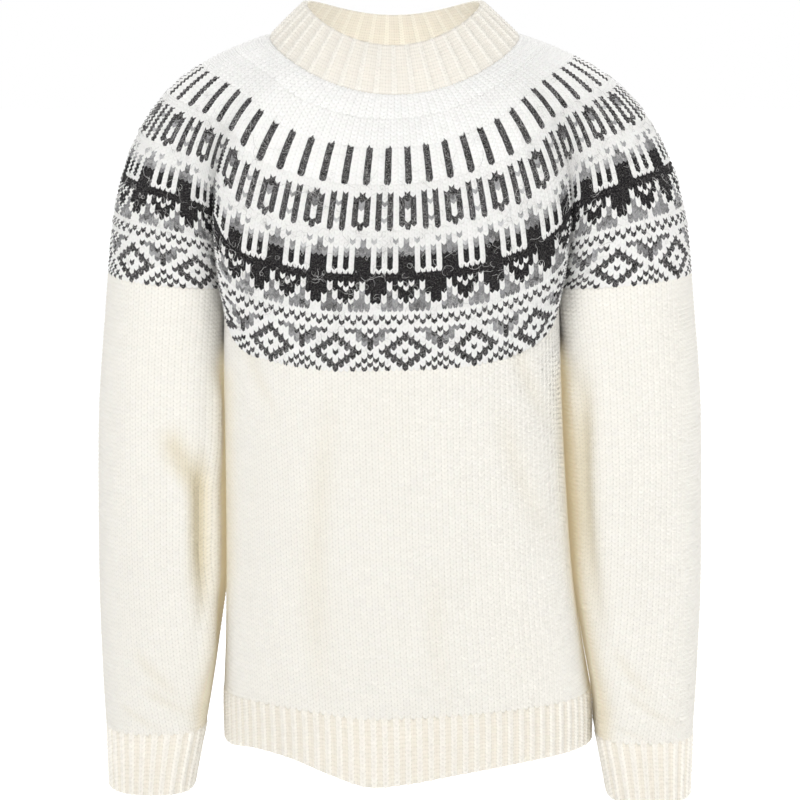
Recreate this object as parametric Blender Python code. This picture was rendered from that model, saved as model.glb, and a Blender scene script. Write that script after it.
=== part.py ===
"""A colour block sweater as worn: a pullover knitted in one, with a round patterned yoke.

The form is eight tubes of knitted cloth, each a closed wall: the ribbed neckband, the yoke, the
body, the ribbed hem, and a sleeve and a ribbed cuff on each side. Each tube's outside is a
surface worked out from the stitch number round it and a height or row, from the tables below.

Sizes are in millimetres and become metres when a mesh is made. X points to the viewer's right,
Y away from the viewer and Z up, so the front faces -Y. The origin is the middle of the neck at
the height where the shoulders hold the sweater up.
"""

import math

import bpy
import numpy as np

MM = 0.001

# The knitting: how many stitches go round each tube
YOKE_STITCHES = 264
BODY_STITCHES = 168
SLEEVE_STITCHES = 72
FRONT_STITCHES = 72
ARM_STITCHES = 60
UNDERARM_STITCHES = 12
STITCHES_PER_COLUMN = 3

# The cloth
WALL = 3.0
SEAM = 0.3
RIB_SEAM = 0.45
CORNER_GAP = 2.0
BESIDE_CORNER_GAP = 0.8
RIB_RAISED = 1.2
RIB_SUNK = 0.6

# The ribs round each ribbed edge, and how tall each edge is
NECK_RIBS = 38
HEM_RIBS = 88
CUFF_RIBS = 22
CUFF_HEIGHT = 59.0
HEM_MEAN = -660.0
HEM_RIB_TOP = -606.0
HEM_WAVE_LEFT_AT_RIB_TOP = 0.3

# The underarm, where body, sleeve and yoke meet
UNDERARM_HEIGHT = -218.0
UNDERARM_HALF_DEPTH = 33.0
SLEEVE_CLEARANCE = 2.0

# The body's sections, from the chest down
BODY_COLUMNS = ("height", "half_width", "front", "back", "middle", "pinch")
BODY = (
    (-218.0, 163.0, 119.0, 112.0, -8.0, 12.0),
    (-300.0, 165.0, 119.0, 110.0, -7.0, 11.0),
    (-400.0, 168.0, 117.0, 108.0, -4.0, 11.0),
    (-500.0, 172.0, 116.0, 108.0, 0.0, 9.0),
    (-560.0, 175.0, 116.0, 109.0, 4.0, 5.0),
    (-610.0, 176.0, 115.0, 110.0, 7.0, 0.0),
    (-680.0, 176.0, 114.0, 111.0, 8.0, 0.0),
)
BODY_SQUARENESS = 2.5
PINCH_STITCHES = 13.0

# The sleeve's sections, from the upper arm to the wrist
SLEEVE_COLUMNS = ("height", "outer", "inner", "half_depth", "middle")
SLEEVE = (
    (-208.0, 274.0, 148.0, 66.0, 0.0),
    (-330.0, 284.0, 152.0, 64.0, -3.0),
    (-430.0, 286.0, 158.0, 61.0, -7.0),
    (-513.0, 286.0, 167.0, 58.0, -11.0),
    (-560.0, 284.5, 174.0, 55.0, -14.0),
    (-600.0, 283.0, 180.0, 51.0, -16.0),
    (-640.0, 281.0, 187.0, 45.0, -18.0),
    (-680.0, 280.0, 195.0, 39.0, -20.0),
    (-712.0, 279.0, 201.0, 36.0, -21.0),
)
SLEEVE_OUTER_SQUARENESS = 2.1
SLEEVE_INNER_SQUARENESS = 3.0
RIGHT_CUFF_END = -699.0
LEFT_CUFF_END = -708.0

# Heights along the yoke's lower edge, from the middle of the front or the back to each arm
EDGE_COLUMNS = ("stitch", "front_left", "front_right", "back")
EDGE = (
    (0.0, -285.0, -285.0, -276.0),
    (12.0, -282.0, -285.0, -275.0),
    (20.0, -274.0, -279.0, -269.0),
    (27.0, -259.0, -268.0, -257.0),
    (30.0, -246.0, -254.0, -244.0),
    (33.0, -228.0, -230.0, -227.0),
    (36.0, -218.0, -218.0, -218.0),
)
SLEEVE_EDGE_MIDDLE = -207.0

# The hem's lower edge: the stitch number from the front middle and its height
HEM_COLUMNS = ("stitch", "height")
HEM = (
    (-42.0, -655.0),
    (-34.0, -652.0),
    (-27.0, -646.0),
    (-20.0, -650.0),
    (-13.0, -663.0),
    (-7.0, -673.0),
    (0.0, -670.0),
    (7.0, -663.0),
    (14.0, -657.0),
    (21.0, -653.0),
    (28.0, -652.0),
    (42.0, -656.0),
    (84.0, -661.0),
    (126.0, -655.0),
)

# The rings of the neckband: half sizes, the middle, and heights at the front, side and back
RING_COLUMNS = ("half_width", "half_depth", "middle", "front", "side", "back")
NECK_BASE = (115.0, 78.0, -5.0, -37.0, 14.0, 0.0)
NECK_TOP = (84.0, 67.0, -6.0, 3.0, 48.0, 37.0)
NECK_BULGE = 0.5

# How each wale of the yoke leaves its lower edge and reaches the neck, from the front round
WALE_COLUMNS = ("stitch", "rise_x", "rise_y", "rise_z", "fall_x", "fall_y", "fall_z")
WALES = (
    (0.0, 0.0, -3.0, 100.0, 0.0, -40.0, -65.0),
    (20.0, 2.0, -3.0, 100.0, 45.0, -36.0, -42.0),
    (36.0, 20.0, -50.0, 62.0, 84.0, -55.0, -32.0),
    (50.0, 2.0, -6.0, 84.0, 100.0, -45.0, -25.0),
    (66.0, -9.0, 0.0, 126.0, 110.0, 0.0, -29.0),
    (82.0, 2.0, 6.0, 84.0, 100.0, 48.0, -30.0),
    (96.0, 20.0, 50.0, 62.0, 84.0, 60.0, -36.0),
    (112.0, 2.0, 6.0, 105.0, 45.0, 42.0, -48.0),
    (132.0, 0.0, 6.0, 110.0, 0.0, 42.0, -56.0),
)

# How many rings each tube has
YOKE_RINGS = 10
BODY_RINGS = 8
SLEEVE_RINGS = 9
NECK_RINGS = 4
HEM_RINGS = 3
CUFF_RINGS = 3
NECK_POINTS_PER_RIB = 3
EDGE_RIB_POINTS = 2

# The colours of the yarn, as linear values
CREAM = (0.86, 0.82, 0.74)
CREAM_WARM = (0.84, 0.79, 0.70)
CHARCOAL = (0.045, 0.042, 0.048)
WOOL_ROUGHNESS = 0.95


def column(names, table, name):
    """One named column of a table."""
    return np.array([row[names.index(name)] for row in table], float)


def smooth(at, values, x):
    """A smooth curve through a table's values, flat past its ends."""
    order = np.argsort(at)
    at, values = at[order], values[order]
    x = np.clip(np.asarray(x, float), at[0], at[-1])
    slope = np.gradient(values, at)
    i = np.clip(np.searchsorted(at, x, side="right") - 1, 0, len(at) - 2)
    gap = at[i + 1] - at[i]
    s = (x - at[i]) / gap
    return (
        values[i] * (1 + 2 * s) * (1 - s) ** 2
        + values[i + 1] * s * s * (3 - 2 * s)
        + gap * slope[i] * s * (1 - s) ** 2
        - gap * slope[i + 1] * s * s * (1 - s)
    )


def look_up(names, table, name, x):
    """A named column's smooth value at x in the table's first column."""
    return smooth(column(names, table, names[0]), column(names, table, name), x)


def ease(x):
    """0 below 0, 1 above 1, and smooth between."""
    x = np.clip(x, 0.0, 1.0)
    return x * x * (3 - 2 * x)


def oval(angle, a, b, n):
    """The radius of a rounded rectangle's outline at an angle from its b axis."""
    return (np.abs(np.sin(angle) / a) ** n + np.abs(np.cos(angle) / b) ** n) ** (-1 / n)


def even_angles(a, b, n, start, end, count):
    """Angles that share an oval's outline out evenly between two angles."""
    angle = np.linspace(start, end, 600)
    radius = oval(angle, a, b, n)
    x, y = radius * np.sin(angle), radius * np.cos(angle)
    along = np.concatenate([[0], np.cumsum(np.hypot(np.diff(x), np.diff(y)))])
    return np.interp(np.linspace(0, along[-1], count), along, angle)


class Body:
    """The outside of the body's tube, by stitch number round it from the front middle."""

    def __init__(self):
        quarter = BODY_STITCHES // 4
        mean = [column(BODY_COLUMNS, BODY, name).mean() for name in ("half_width", "front", "back")]
        front = even_angles(mean[0], mean[1], BODY_SQUARENESS, 0, math.pi / 2, 200)
        back = even_angles(mean[0], mean[2], BODY_SQUARENESS, math.pi, math.pi / 2, 200)
        self.stitches = np.concatenate([np.linspace(0, quarter, 200), np.linspace(quarter, 2 * quarter, 200)])
        self.angles = np.concatenate([front, back[::-1]])

    def at(self, stitch, z):
        """The point of a stitch at a height."""
        half = BODY_STITCHES / 2
        stitch = (np.asarray(stitch, float) + half) % BODY_STITCHES - half
        angle = np.interp(np.abs(stitch), self.stitches, self.angles)
        a = look_up(BODY_COLUMNS, BODY, "half_width", z)
        front = look_up(BODY_COLUMNS, BODY, "front", z)
        back = look_up(BODY_COLUMNS, BODY, "back", z)
        middle = look_up(BODY_COLUMNS, BODY, "middle", z)
        b = np.where(np.cos(angle) > 0, front, back)
        radius = oval(angle, a, b, BODY_SQUARENESS)
        off = np.clip((np.abs(stitch) - BODY_STITCHES / 4) / PINCH_STITCHES, -1, 1)
        pinch = look_up(BODY_COLUMNS, BODY, "pinch", z) * np.cos(off * math.pi / 2) ** 2
        x = middle + np.sign(stitch) * (radius * np.sin(angle) - pinch)
        return np.stack([x, -radius * np.cos(angle), z + 0 * x], -1)

    def side(self, z, side):
        """How far out the body's side is at a height."""
        return side * self.at(side * BODY_STITCHES / 4, z)[..., 0]


class Sleeve:
    """The outside of a sleeve's tube, by stitch number from the front of the underarm, round the outside."""

    def __init__(self, body, side):
        self.body, self.side = body, side
        outer = look_up(SLEEVE_COLUMNS, SLEEVE, "outer", UNDERARM_HEIGHT)
        a = (outer - body.side(UNDERARM_HEIGHT, side)) / 2
        b = look_up(SLEEVE_COLUMNS, SLEEVE, "half_depth", UNDERARM_HEIGHT)
        corner = math.pi / 2 + math.atan2(a * 0.95, UNDERARM_HALF_DEPTH)
        front = even_angles(a, b, SLEEVE_OUTER_SQUARENESS, -corner, corner, 400)
        rest = even_angles(a, b, SLEEVE_INNER_SQUARENESS, corner, 2 * math.pi - corner, 100)
        self.stitches = np.concatenate(
            [np.linspace(0, ARM_STITCHES, 400), np.linspace(ARM_STITCHES, SLEEVE_STITCHES, 100)]
        )
        self.angles = np.concatenate([front, rest])

    def at(self, stitch, z):
        """The point of a stitch at a height; the angle is from the outer side."""
        stitch = np.asarray(stitch, float) % SLEEVE_STITCHES
        angle = np.interp(stitch, self.stitches, self.angles)
        outer = look_up(SLEEVE_COLUMNS, SLEEVE, "outer", z)
        inner = look_up(SLEEVE_COLUMNS, SLEEVE, "inner", z)
        inner = np.maximum(inner, self.body.side(z, self.side) + SLEEVE_CLEARANCE)
        depth = look_up(SLEEVE_COLUMNS, SLEEVE, "half_depth", z)
        middle = look_up(SLEEVE_COLUMNS, SLEEVE, "middle", z)
        a = (outer - inner) / 2
        n = np.where(np.cos(angle) > 0, SLEEVE_OUTER_SQUARENESS, SLEEVE_INNER_SQUARENESS)
        radius = oval(angle, depth, a, n)
        x = self.side * ((outer + inner) / 2 + radius * np.cos(angle))
        return np.stack([x, middle + radius * np.sin(angle), z + 0 * x], -1)


class Form:
    """The whole sweater's outside: one surface for each tube."""

    def __init__(self):
        self.body = Body()
        self.sleeves = {1: Sleeve(self.body, 1), -1: Sleeve(self.body, -1)}

    def underarm(self, side, share):
        """A point of the seam between body and sleeve, from its front end to its back end."""
        share = np.asarray(share, float)
        stitch = FRONT_STITCHES / 2 + UNDERARM_STITCHES * share
        point = self.body.at(side * stitch, UNDERARM_HEIGHT + 0 * share)
        point[..., 1] = UNDERARM_HALF_DEPTH * (2 * share - 1)
        return point

    def edge_height(self, stitch):
        """The height of the yoke's lower edge on the front or the back, for a body stitch."""
        half = BODY_STITCHES / 2
        stitch = (np.asarray(stitch, float) + half) % BODY_STITCHES - half
        left = look_up(EDGE_COLUMNS, EDGE, "front_left", np.abs(stitch))
        right = look_up(EDGE_COLUMNS, EDGE, "front_right", np.abs(stitch))
        back = look_up(EDGE_COLUMNS, EDGE, "back", half - np.abs(stitch))
        return np.where(np.abs(stitch) > half / 2, back, np.where(stitch > 0, left, right))

    def body_edge(self, stitch):
        """The body's upper edge, by body stitch: front, underarm, back and underarm."""
        half = BODY_STITCHES / 2
        stitch = (np.asarray(stitch, float) + half) % BODY_STITCHES - half
        away, side = np.abs(stitch), np.where(stitch < 0, -1, 1)
        front_end = FRONT_STITCHES / 2
        back_start = front_end + UNDERARM_STITCHES
        point = self.body.at(stitch, self.edge_height(stitch))
        for s in (-1, 1):
            mine = side == s
            share = np.clip((away - front_end) / UNDERARM_STITCHES, 0, 1)
            seam = self.underarm(s, share)
            under = mine & (away >= front_end) & (away <= back_start)
            ends = ((front_end, 0.0, away < front_end), (back_start, 1.0, away > back_start))
            for corner, where, beside in ends:
                miss = self.underarm(s, where) - self.body.at(s * corner, UNDERARM_HEIGHT)
                near = ease(1 - np.abs(away - corner) / 14)[..., None]
                point = np.where((mine & beside)[..., None], point + near * miss, point)
            point = np.where(under[..., None], seam, point)
        return point

    def sleeve_edge(self, side, stitch):
        """A sleeve's upper edge, by sleeve stitch: round the outside, then along the underarm."""
        stitch = np.asarray(stitch, float) % SLEEVE_STITCHES
        sleeve = self.sleeves[side]
        arc = np.clip(stitch / ARM_STITCHES, 0, 1)
        height = UNDERARM_HEIGHT + (SLEEVE_EDGE_MIDDLE - UNDERARM_HEIGHT) * np.sin(arc * math.pi) ** 2
        point = sleeve.at(stitch, height)
        for corner, where, near in ((0.0, 0.0, 1 - stitch / 16), (ARM_STITCHES, 1.0, 1 - (ARM_STITCHES - stitch) / 16)):
            miss = self.underarm(side, where) - sleeve.at(corner, UNDERARM_HEIGHT)
            point = point + ease(near)[..., None] * miss
        share = 1 - np.clip((stitch - ARM_STITCHES) / UNDERARM_STITCHES, 0, 1)
        seam = self.underarm(side, share)
        return np.where((stitch > ARM_STITCHES)[..., None], seam, point)

    def yoke_edge(self, stitch):
        """The yoke's lower edge, by yoke stitch from the front middle."""
        half = YOKE_STITCHES / 2
        stitch = (np.asarray(stitch, float) + half) % YOKE_STITCHES - half
        away, side = np.abs(stitch), np.where(stitch < 0, -1, 1)
        arm_start = FRONT_STITCHES / 2
        arm_end = arm_start + ARM_STITCHES
        front = self.body_edge(side * np.minimum(away, arm_start))
        back = self.body_edge(side * (BODY_STITCHES / 2 - np.maximum(half - away, 0)))
        point = np.where((away <= arm_start)[..., None], front, back)
        for s in (-1, 1):
            arm = self.sleeve_edge(s, np.clip(away - arm_start, 0, ARM_STITCHES))
            on_arm = (side == s) & (away > arm_start) & (away < arm_end)
            point = np.where(on_arm[..., None], arm, point)
        return point

    def ring(self, values, turn):
        """A ring of the neckband; turn is in radians from the front, towards the viewer's right."""
        named = dict(zip(RING_COLUMNS, values))
        even = (named["front"] + named["back"]) / 4 + named["side"] / 2
        once = (named["front"] - named["back"]) / 2
        twice = (named["front"] + named["back"]) / 4 - named["side"] / 2
        x = named["middle"] + named["half_width"] * np.sin(turn)
        y = -named["half_depth"] * np.cos(turn)
        return np.stack([x, y, even + once * np.cos(turn) + twice * np.cos(2 * turn)], -1)

    def neck_at(self, turn, share):
        """The neckband's outside, from its base to its top."""
        base, top = self.ring(NECK_BASE, turn), self.ring(NECK_TOP, turn)
        share = np.asarray(share, float)[..., None]
        out = np.stack([np.sin(turn), -np.cos(turn), 0 * turn], -1)
        return base + (top - base) * share + out * NECK_BULGE * np.sin(share * math.pi)

    def wales(self, stitch):
        """The four points that shape each of the yoke's wales."""
        half = YOKE_STITCHES / 2
        stitch = (np.asarray(stitch, float) + half) % YOKE_STITCHES - half
        away, side = np.abs(stitch), np.sign(stitch)
        at = column(WALE_COLUMNS, WALES, "stitch")
        at = np.concatenate([-at[1:2], at, 2 * half - at[-2:-1]])
        hooks = []
        for kind in ("rise", "fall"):
            parts = []
            for axis, turns in (("x", -1), ("y", 1), ("z", 1)):
                v = column(WALE_COLUMNS, WALES, f"{kind}_{axis}")
                v = np.concatenate([turns * v[1:2], v, turns * v[-2:-1]])
                parts.append(smooth(at, v, away))
            parts[0] = parts[0] * np.where(side == 0, 1, side)
            hooks.append(np.stack(parts, -1))
        foot = self.yoke_edge(stitch)
        head = self.ring(NECK_BASE, stitch / YOKE_STITCHES * 2 * math.pi)
        return foot, foot + hooks[0], head + hooks[1], head

    def yoke_grid(self, stitch, rows):
        """The yoke's outside: for each row, a share of each wale's length, a ring of points."""
        foot, rise, fall, head = self.wales(stitch)
        t = np.linspace(0, 1, 97)[:, None, None]
        fine = foot * (1 - t) ** 3 + rise * 3 * t * (1 - t) ** 2 + fall * 3 * t * t * (1 - t) + head * t**3
        along = np.linalg.norm(np.diff(fine, axis=0), axis=2).cumsum(axis=0)
        along = np.concatenate([np.zeros((1, along.shape[1])), along])
        grid = np.empty((len(rows), len(stitch), 3))
        for c in range(len(stitch)):
            want = np.asarray(rows) * along[-1, c]
            for axis in range(3):
                grid[:, c, axis] = np.interp(want, along[:, c], fine[:, c, axis])
        return grid

    def hem_height(self, stitch):
        """The height of the hem's lower edge."""
        start = HEM[0][0]
        stitch = (np.asarray(stitch, float) - start) % BODY_STITCHES + start
        return look_up(HEM_COLUMNS, HEM, "height", stitch)

    def rib_top(self, stitch):
        """The height where the body's plain knitting meets the hem's ribs."""
        return HEM_RIB_TOP + HEM_WAVE_LEFT_AT_RIB_TOP * (self.hem_height(stitch) - HEM_MEAN)

    def body_grid(self, stitch, rows):
        """The body's outside, from the ribs up to the yoke."""
        edge, low = self.body_edge(stitch), self.rib_top(stitch)
        miss = edge - self.body.at(stitch, edge[:, 2])
        grid = []
        for row in rows:
            z = low + (edge[:, 2] - low) * row
            near = ease(1 - (edge[:, 2] - z) / 90.0)[:, None]
            grid.append(self.body.at(stitch, z) + near * miss)
        return np.array(grid)

    def hem_grid(self, stitch, rows):
        """The ribbed hem's outside, from its lower edge up."""
        low, high = self.hem_height(stitch), self.rib_top(stitch)
        return np.array([self.body.at(stitch, low + (high - low) * row) for row in rows])

    def cuff_end(self, side):
        """The height of a cuff's lower edge."""
        return LEFT_CUFF_END if side > 0 else RIGHT_CUFF_END

    def sleeve_grid(self, side, stitch, rows):
        """A sleeve's outside, from its cuff up to the yoke."""
        edge = self.sleeve_edge(side, stitch)
        low = self.cuff_end(side) + CUFF_HEIGHT
        sleeve = self.sleeves[side]
        miss = edge - sleeve.at(stitch, edge[:, 2])
        grid = []
        for row in rows:
            z = low + (edge[:, 2] - low) * row
            near = ease(1 - (edge[:, 2] - z) / 70.0)[:, None]
            grid.append(sleeve.at(stitch, z) + near * miss)
        return np.array(grid) + np.array([side * SEAM, 0, 0])

    def cuff_grid(self, side, stitch, rows):
        """A ribbed cuff's outside, from its lower edge up."""
        low = self.cuff_end(side)
        return np.array([self.sleeves[side].at(stitch, low + CUFF_HEIGHT * row + 0 * stitch) for row in rows])


def outward(grid, turns):
    """The outward direction at each point of a grid of rings; turns is 1 or -1."""
    round_it = np.roll(grid, -1, axis=1) - np.roll(grid, 1, axis=1)
    up = np.gradient(grid, axis=0)
    normal = turns * np.cross(round_it, up)
    return normal / np.linalg.norm(normal, axis=2, keepdims=True)


def shared(direction, other):
    """The direction halfway between two, for the edge where two tubes meet."""
    mean = direction + other
    return mean / np.linalg.norm(mean, axis=-1, keepdims=True)


def tube(name, outside, normals, material):
    """Make one closed wall from a grid of rings, its outward directions and the wall's thickness."""
    inside = outside["plain"] - normals * WALL
    rings, points = inside.shape[:2]
    vertices = np.concatenate([outside["raised"].reshape(-1, 3), inside.reshape(-1, 3)]) * MM
    start = rings * points
    faces = []
    for r in range(rings - 1):
        for c in range(points):
            d = (c + 1) % points
            a, b = r * points + c, r * points + d
            faces.append((a, b, b + points, a + points))
            faces.append((start + a + points, start + b + points, start + b, start + a))
    top = (rings - 1) * points
    for c in range(points):
        d = (c + 1) % points
        faces.append((start + c, start + d, d, c))
        faces.append((top + c, top + d, start + top + d, start + top + c))
    mesh = bpy.data.meshes.new(name)
    mesh.from_pydata(vertices.tolist(), [], faces)
    mesh.materials.append(material)
    obj = bpy.data.objects.new(name, mesh)
    bpy.context.collection.objects.link(obj)
    flip_if_inside_out(mesh)
    return obj


def flip_if_inside_out(mesh):
    """Turn every face over where the wall's volume comes out negative."""
    mesh.calc_loop_triangles()
    volume = 0.0
    for t in mesh.loop_triangles:
        a, b, c = (mesh.vertices[i].co for i in t.vertices)
        volume += a.dot(b.cross(c))
    if volume < 0:
        mesh.flip_normals()


def raised(grid, normals, ribs, points_per_rib):
    """A grid with its ribs raised: the first point of each rib stands out and the others are sunk."""
    points = grid.shape[1]
    up = np.where(np.arange(points) % points_per_rib == 0, RIB_RAISED, -RIB_SUNK)
    return grid + normals * up[None, :, None]


def wool(name, colour):
    """A plain matt wool."""
    material = bpy.data.materials.new(name)
    material.use_nodes = True
    shader = material.node_tree.nodes["Principled BSDF"]
    shader.inputs["Base Color"].default_value = (*colour, 1.0)
    shader.inputs["Roughness"].default_value = WOOL_ROUGHNESS
    shader.inputs["Metallic"].default_value = 0.0
    material.diffuse_color = (*colour, 1.0)
    return material


def seam_directions(form, stitch):
    """The outward directions along the yoke's lower edge, which the body and sleeves share."""
    edge = form.yoke_edge(stitch)
    along = np.roll(edge, -1, axis=0) - np.roll(edge, 1, axis=0)
    along[:, 2] = 0
    out = np.stack([along[:, 1], -along[:, 0], 0 * along[:, 0]], -1)
    return out / np.linalg.norm(out, axis=1, keepdims=True)


def seam_gap(edge, corners):
    """How far an upper edge is lowered, so that it lies a seam's gap from the yoke where it slopes too."""
    along = np.roll(edge, -1, axis=0) - np.roll(edge, 1, axis=0)
    slope = along[:, 2] / np.linalg.norm(along[:, :2], axis=1)
    gap = SEAM * np.sqrt(1 + slope**2)
    for corner in corners:
        gap[corner] += CORNER_GAP
        for beside in (corner - 1, corner + 1):
            gap[beside % len(edge)] += BESIDE_CORNER_GAP
    return gap


def make_yoke(form, material):
    """The patterned yoke, from the underarm to the neckband."""
    stitch = np.arange(0, YOKE_STITCHES, STITCHES_PER_COLUMN, dtype=float)
    grid = form.yoke_grid(stitch, np.linspace(0, 1, YOKE_RINGS))
    normals = outward(grid, 1)
    normals[0] = seam_directions(form, stitch)
    turn = stitch / YOKE_STITCHES * 2 * math.pi
    band = np.array([form.neck_at(turn, share + 0 * turn) for share in (0.0, 0.1)])
    normals[-1] = shared(normals[-1], outward(band, 1)[0])
    return tube("yoke", {"plain": grid, "raised": grid}, normals, material)


def make_neckband(form, material):
    """The ribbed neckband."""
    points = NECK_RIBS * NECK_POINTS_PER_RIB
    turn = np.arange(points) / points * 2 * math.pi
    height = np.linalg.norm(form.neck_at(turn, 1 + 0 * turn) - form.neck_at(turn, 0 * turn), axis=1)
    shares = np.linspace(0, 1, NECK_RINGS)
    rows = [share * (1 - SEAM / height) + SEAM / height for share in shares]
    grid = np.array([form.neck_at(turn, row) for row in rows])
    normals = outward(grid, 1)
    stitch = turn / (2 * math.pi) * YOKE_STITCHES
    below = outward(form.yoke_grid(stitch, (0.9, 1.0)), 1)[1]
    normals[0] = shared(below, normals[0])
    up = raised(grid, normals, NECK_RIBS, NECK_POINTS_PER_RIB)
    return tube("neckband", {"plain": grid, "raised": up}, normals, material)


def make_body(form, material):
    """The plain body, from the hem's ribs to the yoke."""
    stitch = np.arange(0, BODY_STITCHES, STITCHES_PER_COLUMN, dtype=float)
    grid = form.body_grid(stitch, np.linspace(0, 1, BODY_RINGS))
    normals = outward(grid, 1)
    yoke_stitch = np.arange(0, YOKE_STITCHES, STITCHES_PER_COLUMN, dtype=float)
    seam = seam_directions(form, yoke_stitch)
    front = FRONT_STITCHES // 2 // STITCHES_PER_COLUMN
    for start, yoke_start in ((0, 0), (len(stitch) // 2, len(yoke_stitch) // 2)):
        for c in range(-front, front + 1):
            here, there = (start + c) % len(stitch), (yoke_start + c) % len(yoke_stitch)
            own = normals[-1, here]
            normals[-1, here] = shared(own, seam[there]) if abs(c) == front else seam[there]
    middle = len(stitch) // 2
    grid[-1, :, 2] -= seam_gap(grid[-1], (front, middle - front, middle + front, -front))
    return tube("body", {"plain": grid, "raised": grid}, normals, material)


def make_hem(form, material):
    """The ribbed hem."""
    points = HEM_RIBS * EDGE_RIB_POINTS
    stitch = np.arange(points) / points * BODY_STITCHES
    grid = form.hem_grid(stitch, np.linspace(0, 1, HEM_RINGS))
    grid[-1, :, 2] -= RIB_SEAM
    normals = outward(grid, 1)
    up = raised(grid, normals, HEM_RIBS, EDGE_RIB_POINTS)
    return tube("hem_rib", {"plain": grid, "raised": up}, normals, material)


def make_sleeve(form, side, name, material):
    """A plain sleeve, from its cuff to the yoke."""
    stitch = np.arange(0, SLEEVE_STITCHES, STITCHES_PER_COLUMN, dtype=float)
    grid = form.sleeve_grid(side, stitch, np.linspace(0, 1, SLEEVE_RINGS))
    normals = outward(grid, side)
    yoke_stitch = np.arange(0, YOKE_STITCHES, STITCHES_PER_COLUMN, dtype=float)
    seam = seam_directions(form, yoke_stitch)
    first = FRONT_STITCHES // 2 // STITCHES_PER_COLUMN
    arm = ARM_STITCHES // STITCHES_PER_COLUMN
    for c in range(arm + 1):
        there = seam[side * (first + c)]
        normals[-1, c] = shared(normals[-1, c], there) if c in (0, arm) else there
    grid[-1, :, 2] -= seam_gap(grid[-1], (0, arm))
    return tube(name, {"plain": grid, "raised": grid}, normals, material)


def make_cuff(form, side, name, material):
    """A ribbed cuff."""
    points = CUFF_RIBS * EDGE_RIB_POINTS
    stitch = np.arange(points) / points * SLEEVE_STITCHES
    grid = form.cuff_grid(side, stitch, np.linspace(0, 1, CUFF_RINGS))
    grid[-1, :, 2] -= RIB_SEAM
    normals = outward(grid, side)
    up = raised(grid, normals, CUFF_RIBS, EDGE_RIB_POINTS)
    return tube(name, {"plain": grid, "raised": up}, normals, material)


def clear_scene():
    """Remove the objects that the file opens with."""
    for obj in list(bpy.data.objects):
        bpy.data.objects.remove(obj, do_unlink=True)


def main():
    """Build the sweater."""
    clear_scene()
    form = Form()
    cream = wool("cream_wool", CREAM)
    warm = wool("cream_wool_rib", CREAM_WARM)
    patterned = wool("patterned_wool", CHARCOAL)
    make_neckband(form, warm)
    make_yoke(form, patterned)
    make_body(form, cream)
    make_hem(form, warm)
    for side, word in ((1, "left"), (-1, "right")):
        make_sleeve(form, side, f"sleeve_{word}", cream)
        make_cuff(form, side, f"cuff_{word}", warm)


main()
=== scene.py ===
"""The looks of a colour block sweater: knitted shells, stitch by stitch, over the fixed solids.

The sweater is worn and filled out with nobody in it. Each tube of knitting is a closed wall whose
outside carries every stitch as a raised V. The yoke's pattern is charted below, and a face always
belongs to one stitch, so that each stitch has one colour of yarn.

Sizes are in millimetres and become metres when a mesh is made. X points to the viewer's right,
Y away from the viewer and Z up, so the front faces -Y. The origin is the middle of the neck.
"""

import logging
import math
from dataclasses import dataclass
from enum import Enum
from typing import Callable, Sequence

import bpy
import numpy as np
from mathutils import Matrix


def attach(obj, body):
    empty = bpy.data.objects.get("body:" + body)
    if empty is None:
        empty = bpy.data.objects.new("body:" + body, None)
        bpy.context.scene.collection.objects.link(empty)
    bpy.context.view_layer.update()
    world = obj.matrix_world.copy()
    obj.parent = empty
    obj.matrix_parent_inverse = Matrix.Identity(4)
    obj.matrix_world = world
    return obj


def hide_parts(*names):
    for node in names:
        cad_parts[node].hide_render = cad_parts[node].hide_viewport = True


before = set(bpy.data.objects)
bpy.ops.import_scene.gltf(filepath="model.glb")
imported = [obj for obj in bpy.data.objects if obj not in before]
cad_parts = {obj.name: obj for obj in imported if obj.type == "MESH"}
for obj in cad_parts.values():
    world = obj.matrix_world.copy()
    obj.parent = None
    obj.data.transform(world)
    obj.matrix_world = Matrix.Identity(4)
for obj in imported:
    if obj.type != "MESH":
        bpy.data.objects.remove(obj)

log = logging.getLogger("sweater")

Array = np.ndarray
Surface = Callable[[Array, Array], Array]

MM = 0.001


def smooth(at: Array, values: Array, x: Array) -> Array:
    """Read a smooth curve through a table's values.

    Args:
        at: Where the values stand, in any order.
        values: The table's values.
        x: Where to read the curve; it is flat past the table's ends.

    Returns:
        The curve's value at each x.
    """
    order = np.argsort(at)
    at, values = at[order], values[order]
    x = np.clip(np.asarray(x, float), at[0], at[-1])
    slope = np.gradient(values, at)
    i = np.clip(np.searchsorted(at, x, side="right") - 1, 0, len(at) - 2)
    gap = at[i + 1] - at[i]
    s = (x - at[i]) / gap
    return (
        values[i] * (1 + 2 * s) * (1 - s) ** 2
        + values[i + 1] * s * s * (3 - 2 * s)
        + gap * slope[i] * s * (1 - s) ** 2
        - gap * slope[i + 1] * s * s * (1 - s)
    )


@dataclass(frozen=True)
class Table:
    """Measures of the form in rows, read as smooth curves.

    Attributes:
        names: The columns' names; the first is what the others are looked up by.
        rows: The rows.
    """

    names: tuple[str, ...]
    rows: tuple[tuple[float, ...], ...]

    def column(self, name: str) -> Array:
        """One named column."""
        return np.array([row[self.names.index(name)] for row in self.rows], float)

    def at(self, name: str, x: Array) -> Array:
        """A named column's smooth value at x in the first column."""
        return smooth(self.column(self.names[0]), self.column(name), x)


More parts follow.
